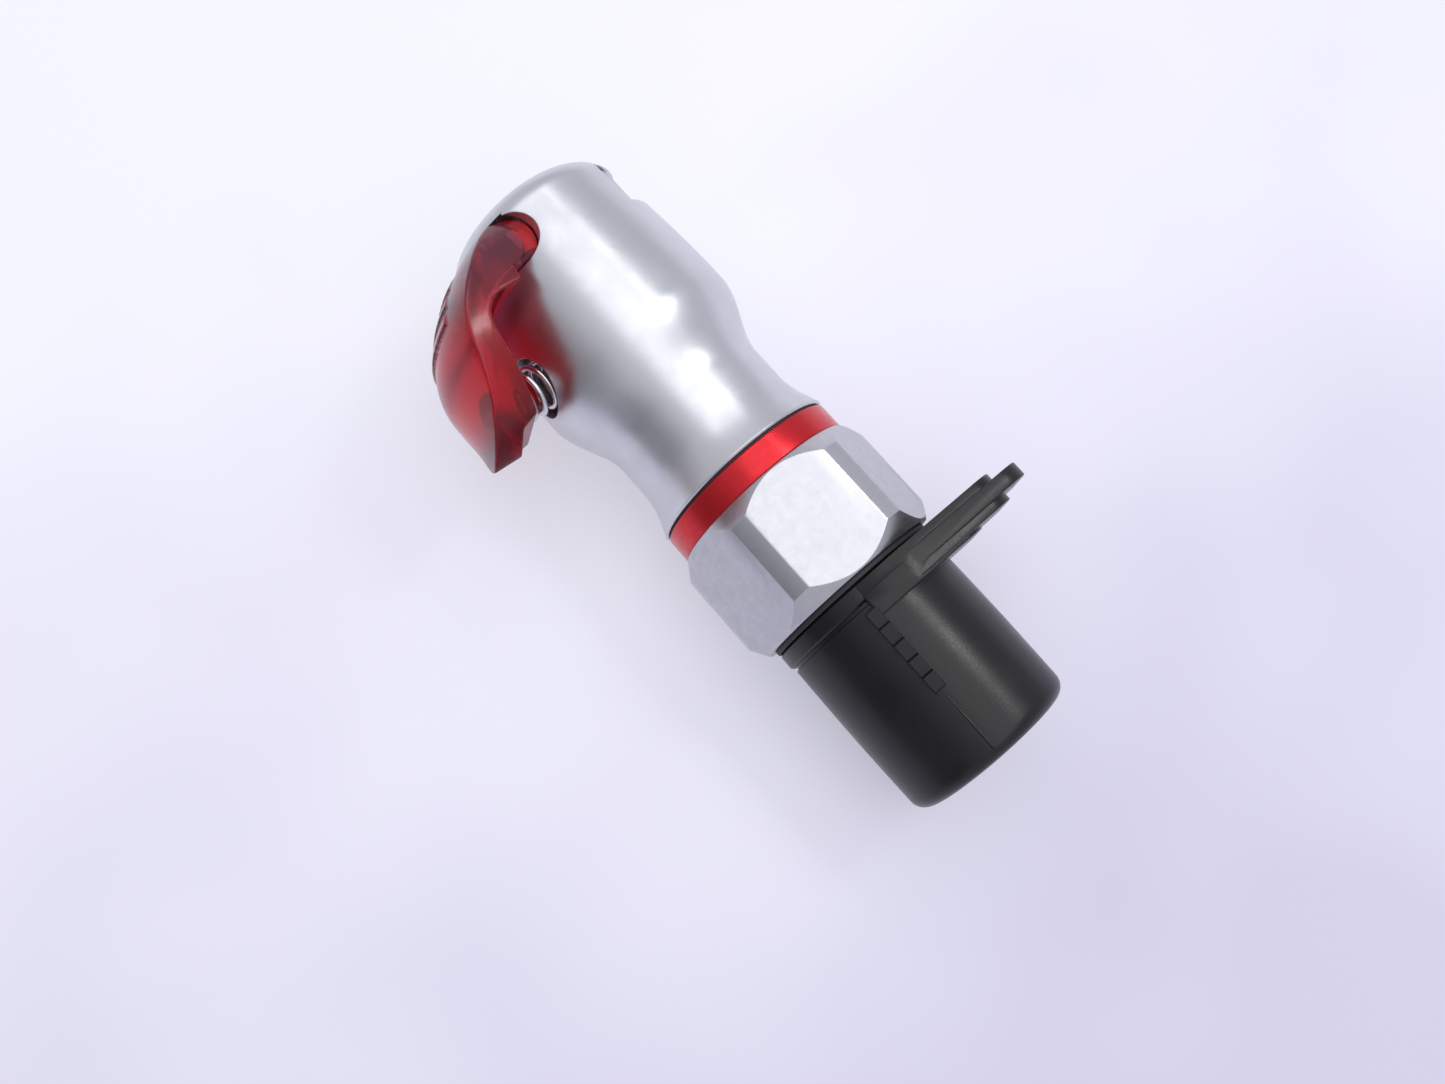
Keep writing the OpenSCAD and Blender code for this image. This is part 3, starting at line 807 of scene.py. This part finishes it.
    def build(self) -> None:
        """Makes the head and hides its solid."""
        washer = middle("spring_washer")
        seat = Vector((washer.x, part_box("spring_washer")[0].y / MM, 0))
        shape = turned(self.skin() + self.bore())
        for cutter in (self.slot(self.slot_floor, 2 * BEYOND),
                       self.slot(self.slot_floor - self.pocket_drop, self.pocket_w),
                       self.notch(), self.slit(),
                       pin(seat, Vector((washer.x, BEYOND, 0)), self.hole_r),
                       self.countersink(Vector((washer.x, self.bulge_r, 0)))):
            shape = joined(shape, cutter, Join.CUT)
        show("head", shape, "coupling", SATIN, "head_body")


# ---------------------------------------------------------------- the button


@dataclass
class Button:
    """The translucent thumb lever, with its foot in the slot and its overhanging thumb pad."""

    clear: float = 0.15
    travel: float = 2.2
    crown_r: float = 24.95
    crown_start_r: float = 13.9
    crown_at: float = 16.0
    crown_flat: float = 4.0
    crown_fullness: float = 0.8
    tip_rise: float = 1.95
    tip_t: float = 3.6
    widest_at: float = 9.0
    front_reach: float = 12.5
    side_fullness: float = 0.75
    under_y: float = 18.9
    pad_to: float = 25.0
    lip_h: float = 2.52
    lip_l: float = 0.63
    neck_back: float = 12.2
    neck_r: float = 17.1
    neck_low: float = 5.0
    throat: float = 3.6
    ribs: int = 3
    rib_from: float = 1.6
    rib_h: float = 0.45
    rib_l: float = 1.3
    rib_slope: float = 0.15
    rib_sunk: float = 1.0
    rib_pitch: float = 2.3
    rib_half_angle: float = 18.0
    hollow_r: float = 9.1
    hollow_to: float = 17.0
    spigot_r: float = 2.3
    spigot_l: float = 2.6
    mould_grid: float = 0.17
    mould_passes: int = 4
    head: Head = field(default_factory=Head)
    front: float = field(init=False)
    tip: float = field(init=False)
    half_w: float = field(init=False)

    def __post_init__(self) -> None:
        """Takes the lever's ends and width from its solid."""
        self.front, self.tip = depths("push_button")
        self.half_w = widest_z("push_button") / 2

    def crown(self, depth: float) -> float:
        """Radius of the crown, which rises from the front, stays level and rises to the tip.

        Args:
            depth: Where it is wanted.

        Returns:
            The radius.
        """
        if depth < self.crown_at:
            share = (depth - self.front) / (self.crown_at - self.front)
            rise = max(0.0, math.sin(math.pi / 2 * share)) ** self.crown_fullness
            return self.crown_start_r + (self.crown_r - self.crown_start_r) * rise
        rise_from = self.crown_at + self.crown_flat
        share = max(0.0, depth - rise_from) / (self.tip - rise_from)
        return self.crown_r + self.tip_rise * share ** 2

    def half(self, depth: float) -> float:
        """Half width of the lever's outline.

        Args:
            depth: Where it is wanted.

        Returns:
            The half width.
        """
        reach = self.front_reach if depth < self.widest_at else self.tip - self.widest_at
        share = max(0.0, 1 - ((depth - self.widest_at) / reach) ** 2)
        return self.half_w * share ** self.side_fullness

    def envelope(self) -> Shape:
        """All that lies under the crown and within the outline.

        Returns:
            The solid.
        """
        stations = [self.front + (self.tip - self.front) * share for share in shares(60)]
        crown = [(self.front, 0.0)] + [(d, self.crown(d)) for d in stations] + [(self.tip, 0.0)]
        ends = [self.tip * (1 - math.cos(math.pi * share)) / 2 for share in shares(72)]
        side = [Vector((-d, 0, -self.half(d))) for d in ends]
        side += [Vector((-d, 0, self.half(d))) for d in reversed(ends) if self.half(d) > 0.01]
        return joined(turned(crown, 480), prism(side, Vector((0, BEYOND, 0))), Join.KEEP)

    def foot(self) -> Shape:
        """What stands in the head's slot, with its two legs, up through the crown.

        Returns:
            The foot.
        """
        floor = self.head.slot_floor + self.travel + self.clear
        block = self.head.slot(floor, 2 * BEYOND, self.clear, 40)
        legs_w = self.head.pocket_w - 2 * self.clear
        legs = self.head.slot(floor - self.head.pocket_drop, legs_w, self.clear, 40)
        return joined(block, legs, Join.ADD)

    def overhang(self) -> Shape:
        """What hangs over the head behind the slot, with its flat underside.

        Returns:
            The overhang.
        """
        start = self.head.slot_front + self.head.slot_w / 2
        end = self.tip + 1
        outline = [(start, self.neck_low), (self.neck_back, self.neck_low)]
        outline += [(self.neck_back + self.throat * (1 - math.cos(a)),
                     self.under_y - self.throat * (1 - math.sin(a))) for a in quarter(12)]
        outline += [(self.pad_to, self.under_y),
                    (self.pad_to + self.lip_l, self.under_y + self.lip_h),
                    (end, self.crown(self.tip) - self.tip_t), (end, BEYOND), (start, BEYOND)]
        clearance = bar(start - 1, end + 1, self.neck_r, 240)
        return joined(crosswise(outline, 2 * BEYOND), clearance, Join.CUT)

    def thumb_rib(self, start: float) -> Shape:
        """One of the ribs across the crown.

        Args:
            start: Its front depth.

        Returns:
            The rib.
        """
        end = start + self.rib_l
        outline = [(start, self.crown(start) - self.rib_sunk),
                   (start + self.rib_slope, self.crown(start) + self.rib_h),
                   (end, self.crown(end) + self.rib_h), (end, self.crown(end) - self.rib_sunk)]
        shape = bmesh.new()
        corners = [shape.verts.new((-depth, radius, 0.0)) for depth, radius in outline]
        face = shape.faces.new(corners)
        turned_about(shape, -self.rib_half_angle)
        geometry = [face] + list(face.edges) + corners
        bmesh.ops.spin(shape, geom=geometry, cent=(0, 0, 0), axis=FLOW, dvec=(0, 0, 0),
                       angle=math.radians(2 * self.rib_half_angle), steps=48)
        return closed(shape)

    def spigot(self) -> Shape:
        """The round spigot that centres the spring."""
        low, high = (Vector((middle("button_spring").x, self.under_y + rise, 0))
                     for rise in (-self.spigot_l, 1))
        return pin(low, high, self.spigot_r)

    def lever(self) -> Shape:
        """The whole lever, with moulded edges.

        Returns:
            Its shape.
        """
        shape = joined(self.foot(), self.overhang(), Join.ADD)
        shape = joined(self.envelope(), shape, Join.KEEP)
        shape = joined(shape, bar(-1, self.hollow_to, self.hollow_r, 160), Join.CUT)
        for step in range(self.ribs):
            rib = self.thumb_rib(self.front + self.rib_from + step * self.rib_pitch)
            shape = joined(shape, rib, Join.ADD)
        shape = joined(shape, self.spigot(), Join.ADD)
        return moulded(shape, self.mould_grid, self.mould_passes)

    def build(self) -> None:
        """Makes the lever and hides its solid."""
        show("thumb_lever", self.lever(), "button", RUBY, "push_button", crease=60.0)


# ---------------------------------------------------------------- the springs


@dataclass(frozen=True)
class Spring:
    """A coil spring, made at the length of its solid, for the joint named in it."""

    name: str
    node: str
    joint: str
    way: Vector
    wire: float
    turns: float

    def build(self) -> None:
        """Makes the spring on its seat and hides its solid."""
        low, high = (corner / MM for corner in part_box(self.node))
        centre = (low + high) / 2
        span = high - low
        length = span.dot(self.way)
        radius = (span.z - self.wire) / 2
        seat = centre - self.way * length / 2
        shape = coil(seat, self.way, radius, self.wire, length, self.turns)
        piece = show(self.name, shape, "coupling", SPRING_STEEL, self.node)
        keep = 1 - self.travel() / length
        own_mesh(piece)

    def travel(self) -> float:
        """How far the spring's joint moves, in millimetres."""
        joints = frame["record"]["behaviour"]["joints"]
        return next(joint["range_m"][1] for joint in joints if joint["name"] == self.joint) / MM


SPRINGS = (
    Spring("lever_spring", "button_spring", "button_press", Vector((0, 1, 0)), 0.8, 6),
    Spring("poppet_spring", "valve_spring", "valve_open", Vector((1, 0, 0)), 0.7, 4.5),
)


# ---------------------------------------------------------------- the coloured ring and washers


@dataclass(frozen=True)
class Band:
    """A flat ring with rounded outer edges, of the size of its solid."""

    name: str
    node: str
    wall: float
    edge: float
    finish: Finish

    def build(self) -> None:
        """Makes the ring and hides its solid."""
        front, rear = depths(self.node)
        outer = widest(self.node) / 2
        rim = [(self.edge * (1 - math.sin(a)), outer - self.edge * (1 - math.cos(a)))
               for a in quarter(6)]
        outline = [(front, outer - self.wall)]
        outline += [(front + depth, radius) for depth, radius in reversed(rim)]
        outline += [(rear - depth, radius) for depth, radius in rim]
        outline += [(rear, outer - self.wall)]
        show(self.name, turned(outline), "coupling", self.finish, self.node)


BANDS = (
    Band("coloured_ring", "colour_ring", 3.6, 0.28, RED_RING),
    Band("ring_seal", "ring_gasket", 3.2, 0.1, RUBBER),
    Band("flat_washer", "thread_washer", 3.1, 0.2, RUBBER),
)


# ---------------------------------------------------------------- the connector


@dataclass
class Connector:
    """The hexagon with its male pipe thread and the spigot that screws into the head."""

    across_flats: float = 27.0
    corner_r: float = 14.9
    bevel: float = 30.0
    face_inset: float = 0.05
    face_edge: float = 0.12
    turn: float = 10.7
    core_r: float = 9.0
    port_r: float = 6.5
    port_edge: float = 0.4
    room_r: float = 8.0
    spigot_gap: float = 0.05
    edge: float = 0.3
    groove_deep: float = 1.9
    groove_gap: float = 0.1
    under_hex: float = 0.5
    relief_r: float = 9.25
    relief_l: float = 2.2
    thread_r: float = 10.4775
    thread_root_r: float = 9.32
    thread_edge: float = 0.6
    pitch: float = 1.814
    crest_w: float = 0.32
    root_w: float = 0.16
    thread_sunk: float = 0.15
    fade_sunk: float = 0.1
    thread_gaps: Point = (0.9, 1.5)
    hex_from: float = field(init=False)
    hex_to: float = field(init=False)
    front: float = field(init=False)
    rear: float = field(init=False)

    def __post_init__(self) -> None:
        """Takes the stations from the solids."""
        self.hex_from = depths("colour_ring")[1]
        self.hex_to = depths("thread_washer")[0]
        self.front, self.rear = depths("rear_connector")

    def hexagon(self) -> Shape:
        """The hexagon with its turned-down corners and cone chamfers.

        Returns:
            Its shape.
        """
        flat_r = self.across_flats / 2
        full_r = flat_r / math.cos(math.pi / 6)
        shape = bmesh.new()
        place = Matrix.Translation((-(self.hex_from + self.hex_to) / 2, 0, 0))
        bmesh.ops.create_cone(shape, cap_ends=True, segments=6, depth=self.hex_to - self.hex_from,
                              matrix=place @ Matrix.Rotation(math.pi / 2, 4, "Y"),
                              radius1=full_r, radius2=full_r)
        corner = next(iter(shape.verts)).co
        corner_turn = math.degrees(math.atan2(corner.z, corner.y)) % 60
        turned_about(shape, self.turn + 30 - corner_turn)
        slope = (self.corner_r - flat_r) / math.tan(math.radians(self.bevel))
        rim_r = flat_r - self.face_inset
        half = [(0.0, 0.0), (0.0, rim_r - self.face_edge), (self.face_edge, rim_r),
                (slope, self.corner_r)]
        cone = [(self.hex_from + depth, radius) for depth, radius in half]
        cone += [(self.hex_to - depth, radius) for depth, radius in reversed(half)]
        return joined(shape, turned(cone, 240), Join.KEEP)

    def shank(self) -> Shape:
        """The spigot in front of the hexagon and the thread's core behind it.

        Returns:
            The shank.
        """
        spigot_r = widest("valve_seat") / 2 - self.spigot_gap
        groove_r = spigot_r - self.groove_deep
        groove_from, groove_to = depths("connector_oring")
        groove_from -= self.groove_gap
        groove_to += self.groove_gap
        relief_to = self.hex_to + self.relief_l
        cage_to = depths("stem_cage")[1]
        outline = [(self.front, self.room_r), (self.front, spigot_r - self.edge),
                   (self.front + self.edge, spigot_r), (groove_from, spigot_r),
                   (groove_from, groove_r), (groove_to, groove_r), (groove_to, spigot_r),
                   (self.hex_from + self.under_hex, spigot_r),
                   (self.hex_to - self.under_hex, self.relief_r),
                   (relief_to, self.relief_r), (relief_to + self.edge, self.thread_root_r),
                   (self.rear - self.thread_edge, self.thread_root_r),
                   (self.rear, self.thread_root_r - self.thread_edge),
                   (self.rear, self.port_r + self.port_edge),
                   (self.rear - self.port_edge, self.port_r), (cage_to, self.port_r),
                   (cage_to, self.room_r)]
        return turned(outline)

    def thread(self) -> Shape:
        """The helical ridge of the pipe thread, which fades out at both ends.

        Returns:
            The ridge.
        """
        steps, fade = 64, 20
        start = self.hex_to + self.relief_l + self.thread_gaps[0]
        turns = (self.rear - start - self.thread_gaps[1]) / self.pitch
        count = round(steps * turns)
        root, crest = (self.pitch - self.root_w) / 2, self.crest_w / 2
        low = self.thread_root_r - self.thread_sunk
        section = [(-root, low), (-crest, self.thread_r), (crest, self.thread_r), (root, low)]
        shape = bmesh.new()
        corners = [shape.verts.new((-start - along, radius, 0)) for along, radius in section]
        face = shape.faces.new(corners)
        bmesh.ops.spin(shape, geom=[face] + list(face.edges) + corners, cent=(0, 0, 0), axis=FLOW,
                       dvec=(-self.pitch / steps, 0, 0), angle=math.tau * count / steps,
                       steps=count)
        first, last = -start, -start - self.pitch * turns
        faded = self.thread_root_r - self.fade_sunk
        for corner in shape.verts:
            radius = math.hypot(corner.co.y, corner.co.z)
            if radius < self.thread_root_r:
                continue
            inside = min(first - corner.co.x, corner.co.x - last) / self.pitch * steps / fade
            share = min(1.0, max(0.0, inside))
            wanted = faded + (radius - faded) * share
            corner.co.y *= wanted / radius
            corner.co.z *= wanted / radius
        return closed(shape)

    def build(self) -> None:
        """Makes the connector and hides its solid."""
        core = bar(self.hex_from - 1, self.hex_to + 1, self.core_r, 160)
        collar = joined(self.hexagon(), core, Join.CUT)
        shape = joined(self.shank(), collar, Join.ADD)
        shape = joined(shape, self.thread(), Join.ADD)
        show("connector", shape, "coupling", MILLED, "rear_connector", crease=25.0)


# ---------------------------------------------------------------- the cap


@dataclass
class Cap:
    """The pull-off thread cap with its tab, grip ribs and mould line."""

    body_r: float = 12.1
    body_edge: float = 0.1
    barrel: float = 0.12
    end_round: float = 2.0
    dome: float = 0.3
    flange_r: float = 12.4
    flange_l: float = 2.4
    flange_edge: float = 0.3
    groove_w: float = 0.5
    groove_deep: float = 0.35
    wall: float = 1.6
    bore_r: float = 10.5975
    bore_step: float = 0.9
    bore_edge: float = 0.5
    lead_in: float = 0.4
    grip_l: float = 16.0
    tab_turn: float = 151.3
    tab_reach: float = 25.6
    tab_root_w: float = 25.2
    tab_tip_w: float = 17.0
    tab_round: float = 4.0
    tab_edge: float = 0.16
    tab_t: float = 2.1
    tab_set: float = 0.2
    tab_sunk: float = 0.7
    layer_inset: float = 0.12
    pad_t: float = 1.1
    pad_margin: float = 3.4
    root_layer_t: float = 0.4
    root_layer_set: float = 0.5
    root_layer_margin: float = 8.4
    teeth: int = 5
    tooth_pitch: float = 2.5
    tooth_h: float = 0.9
    tooth_ends: Point = (0.06, 0.94)
    tooth_edge: float = 0.09
    rib_w: float = 1.7
    rib_set: float = 0.6
    rib_sunk: float = 0.6
    rib_turn: float = 92.0
    line_r: float = 0.16
    line_sunk: float = 0.03
    line_margins: Point = (0.3, 1.3)
    front: float = field(init=False)
    rear: float = field(init=False)
    body_from: float = field(init=False)

    def __post_init__(self) -> None:
        """Takes the cap's ends from its solid."""
        self.front, self.rear = depths("protective_cap")
        self.rear -= self.dome
        self.body_from = self.front + self.flange_l + self.groove_w

    def cup(self) -> Shape:
        """The turned cup with its flange, groove, slight barrel and rounded end.

        Returns:
            Its shape.
        """
        floor = self.rear - self.wall
        narrow_r = self.bore_r - self.bore_step
        grip_to = self.front + self.grip_l
        lip = self.front + self.flange_l
        groove_r = self.body_r - self.groove_deep
        outline = [(floor, 0.0), (floor, narrow_r - self.bore_edge),
                   (floor - self.bore_edge, narrow_r), (grip_to, narrow_r),
                   (grip_to, self.bore_r), (self.front + self.lead_in, self.bore_r),
                   (self.front, self.bore_r + self.lead_in),
                   (self.front, self.flange_r - self.flange_edge),
                   (self.front + self.flange_edge, self.flange_r),
                   (lip - self.flange_edge, self.flange_r),
                   (lip, self.flange_r - self.flange_edge), (lip, groove_r),
                   (self.body_from, groove_r), (self.body_from, self.body_r - self.body_edge),
                   (self.body_from + self.body_edge, self.body_r)]
        body_l = self.rear - self.end_round - self.body_from
        outline += [(self.body_from + body_l * share,
                     self.body_r + self.barrel * math.sin(math.pi * share))
                    for share in shares(24)[1:-1]]
        outline += [(self.rear - self.end_round * (1 - math.sin(a)),
                     self.body_r - self.end_round * (1 - math.cos(a))) for a in quarter(10)]
        return turned(outline + [(self.rear + self.dome, 0.0)])

    def tab_layer(self, front: float, rear: float, reach: float, inset: float) -> Shape:
        """One layer of the pull tab, with eased edges.

        Args:
            front: Front depth.
            rear: Rear depth.
            reach: Reach from the flow axis.
            inset: How far its root lies inside the root of the widest layer.

        Returns:
            The layer.
        """
        corner = self.tab_tip_w / 2 - self.tab_round
        centre = reach - self.tab_round
        root = self.tab_root_w / 2 - inset
        half = [(inset, root), (self.flange_r / 2, root)]
        half += [(centre + self.tab_round * math.sin(a), corner + self.tab_round * math.cos(a))
                 for a in quarter(9)[1:]]
        outline = [Vector((-front, out, -across)) for out, across in half]
        outline += [Vector((-front, out, across)) for out, across in reversed(half)]
        return eased(prism(outline, Vector((front - rear, 0, 0))), self.tab_edge, 50, 2)

    def tab(self) -> Shape:
        """The pull tab with a grip pad on each face and a thin layer at its root.

        Returns:
            The tab, turned to its place.
        """
        pad_from = self.front + self.tab_set
        middle_from = pad_from + self.pad_t
        middle_to = middle_from + self.tab_t
        pad_to = middle_to + self.pad_t
        root_from, root_to = middle_from + self.root_layer_set, pad_to + self.root_layer_t
        spans = ((middle_from, middle_to, 0.0, 2), (pad_from, pad_to, self.pad_margin, 1),
                 (root_from, root_to, self.root_layer_margin, 0))
        shape, *others = [self.tab_layer(front, rear, self.tab_reach - margin,
                                         steps * self.layer_inset)
                          for front, rear, margin, steps in spans]
        for layer in others:
            shape = joined(shape, layer, Join.ADD)
        room = bar(pad_from - 1, root_to + 1, self.body_r - self.tab_sunk, 120)
        return turned_about(joined(shape, room, Join.CUT), self.tab_turn)

    def grip_rib(self, side: int) -> Shape:
        """A toothed grip rib along the cup.

        Args:
            side: -1 or 1, for the two sides of the tab.

        Returns:
            The rib, turned to its place.
        """
        start = self.body_from + self.rib_set
        base = self.body_r - self.rib_sunk
        outline = [(start, base)]
        for step in range(self.teeth):
            for end, height in zip(self.tooth_ends, (self.tooth_h, self.tooth_h / 3)):
                outline.append((start + (step + end) * self.tooth_pitch, self.body_r + height))
        outline.append((start + self.teeth * self.tooth_pitch, base))
        rib = eased(crosswise(outline, self.rib_w), self.tooth_edge, 30, 1)
        return turned_about(rib, self.tab_turn + side * self.rib_turn)

    def mould_line(self, side: int) -> Shape:
        """The fine raised line that the mould leaves along the cup.

        Args:
            side: -1 or 1, for the two sides of the tab.

        Returns:
            The line, turned to its place.
        """
        ends = (self.body_from + self.line_margins[0], self.rear - self.line_margins[1])
        start, end = (Vector((-depth, self.body_r - self.line_sunk, 0)) for depth in ends)
        return turned_about(pin(start, end, self.line_r, 10), self.tab_turn + side * self.rib_turn)

    def build(self) -> None:
        """Makes the cap and hides its solid."""
        shape = joined(self.cup(), self.tab(), Join.ADD)
        for side in (-1, 1):
            shape = joined(shape, self.mould_line(side), Join.ADD)
            shape = joined(shape, self.grip_rib(side), Join.ADD)
        show("thread_cap", shape, "cap", BLACK_CAP, "protective_cap", crease=28.0)


# ---------------------------------------------------------------- the stage


@dataclass
class Studio:
    """Floor, lamps, world and camera."""

    floor_normal: Vector = field(default_factory=lambda: Vector((0.0387, 0.3302, 0.9431)))
    floor_size: float = 3.0
    floor_gap: float = 0.02
    rest_depth: float = 24.2
    rest_r: float = 15.1
    aim: Vector = field(default_factory=lambda: Vector((-45.0, 0.0, 0.0)))
    eye: Vector = field(default_factory=lambda: Vector((-74.75, 83.12, 135.42)))
    gaze: Vector = field(default_factory=lambda: Vector((0.15012, -0.47296, -0.86818)))
    above: Vector = field(default_factory=lambda: Vector((0.74052, -0.52789, 0.41566)))
    lens: float = 30.54

    def camera(self) -> None:
        """Places the camera."""
        data = bpy.data.cameras.new("camera")
        data.lens = self.lens
        data.sensor_width = 36.0
        data.clip_start = 0.005
        camera = bpy.data.objects.new("camera", data)
        right = self.gaze.cross(self.above).normalized()
        up = right.cross(self.gaze).normalized()
        turn = Matrix((right, up, -self.gaze.normalized())).transposed().to_4x4()
        camera.matrix_world = Matrix.Translation(self.eye * MM) @ turn
        bpy.context.scene.collection.objects.link(camera)
        bpy.context.scene.camera = camera

    def floor(self) -> None:
        """Lays the pale floor that the coupling rests on."""
        shape = bmesh.new()
        normal = self.floor_normal.normalized()
        flat = Vector((0, normal.y, normal.z)).normalized()
        foot = Vector((-self.rest_depth, 0, 0)) - flat * self.rest_r
        turn = normal.to_track_quat("Z", "Y").to_matrix().to_4x4()
        lie = Matrix.Translation((foot - normal * self.floor_gap) * MM) @ turn
        bmesh.ops.create_grid(shape, x_segments=1, y_segments=1, size=self.floor_size, matrix=lie)
        floor = loose("floor", shape)
        floor.data.materials.append(self.pale_floor())

    def pale_floor(self) -> bpy.types.Material:
        """Draws the floor's material, which has painted shade that darkens it towards one side, and
        glows by half.

        Returns:
            The material.
        """
        made = bpy.data.materials.new("pale_floor")
        made.use_nodes = True
        sheet = Sheet(made.node_tree)
        place = sheet.node("TexCoord").outputs["Object"]
        clouds = sheet.node("TexNoise", {"Vector": place, "Scale": 14.0, "Detail": 2.0})
        # painted shade: the colour falls off along this direction, with cloudy unevenness
        along = sheet.node("VectorMath", {0: place, 1: (6.1, -1.2, 1.7)}, operation="DOT_PRODUCT")
        light = sheet.worked("ADD", along.outputs["Value"], clouds.outputs["Fac"])
        share = sheet.spread(light, -0.38, 0.62, 0.0, 1.0)
        colour = sheet.ramp(share, [(0.0, (0.67, 0.65, 0.80)), (0.56, (0.85, 0.84, 0.955)),
                                    (1.0, (0.93, 0.93, 1.0))])
        matt = sheet.node("BsdfDiffuse", {"Color": colour})
        glow = sheet.node("Emission", {"Color": colour, "Strength": 1.0})
        both = sheet.node("MixShader", {0: 0.5, 1: matt.outputs[0], 2: glow.outputs[0]})
        sheet.node("OutputMaterial", {"Surface": both.outputs[0]})
        return made

    def world(self) -> None:
        """Lights the scene by a pale room that is darker on the button's side."""
        world = bpy.data.worlds.new("room")
        bpy.context.scene.world = world
        world.use_nodes = True
        sheet = Sheet(world.node_tree)
        way = sheet.node("TexCoord").outputs["Generated"]
        side = sheet.node("VectorMath", {0: way, 1: (0.0, 0.98, -0.2)}, operation="DOT_PRODUCT")
        share = sheet.spread(side.outputs["Value"], -1.0, 1.0, 0.0, 1.0)
        colour = sheet.ramp(share, [(0.0, (0.60, 0.60, 0.67)), (0.78, (0.70, 0.70, 0.76)),
                                    (0.93, (0.30, 0.30, 0.33)), (1.0, (0.24, 0.24, 0.27))])
        back = sheet.node("Background", {"Color": colour, "Strength": 1.0})
        sheet.node("OutputWorld", {"Surface": back.outputs[0]})

    def lamp(self, name: str, way: Vector, distance: float, size: Point, power: float) -> None:
        """Hangs a soft lamp that faces the coupling.

        Args:
            name: Name of the lamp.
            way: Direction from the coupling to the lamp.
            distance: How far away it is, in metres.
            size: Its length along the flow axis and its width across it, in metres.
            power: Its power in watts.
        """
        data = bpy.data.lights.new(name, "AREA")
        data.shape = "RECTANGLE"
        data.size, data.size_y = size
        data.energy = power
        lamp = bpy.data.objects.new(name, data)
        across = way.cross(FLOW).normalized()
        along = across.cross(way).normalized()
        turn = Matrix((along, across, way.normalized())).transposed().to_4x4()
        lamp.matrix_world = Matrix.Translation(self.aim * MM + way.normalized() * distance) @ turn
        bpy.context.scene.collection.objects.link(lamp)

    def build(self) -> None:
        """Sets up everything round the coupling."""
        self.camera()
        self.floor()
        self.world()
        self.lamp("ceiling", Vector((0.0, 0.18, 0.98)), 0.7, (1.3, 0.46), 1.95)
        self.lamp("strip", Vector((0.14, -0.28, 0.95)), 0.72, (0.92, 0.06), 0.62)
        self.lamp("spot", Vector((-0.07, -0.33, 0.93)), 0.5, (0.08, 0.08), 0.28)
        bpy.context.scene.view_settings.view_transform = "Standard"


# ---------------------------------------------------------------- putting it together


def dress_solids() -> None:
    """Gives every solid that stays the finish of its slot."""
    for row in frame["record"]["subparts"]:
        node = frame["nodes"][row["node"]]
        finish = FINISHES[row["material_slot"]]
        node.data.materials.clear()
        node.data.materials.append(finish.material())


def main() -> None:
    """Builds the looks in order."""
    dress_solids()
    for assembly in (Head(), Button(), *SPRINGS, *BANDS, Connector(), Cap()):
        assembly.build()
    Studio().build()


if __name__ == "__main__":
    logging.basicConfig(level=logging.INFO, format="%(message)s")
    main()
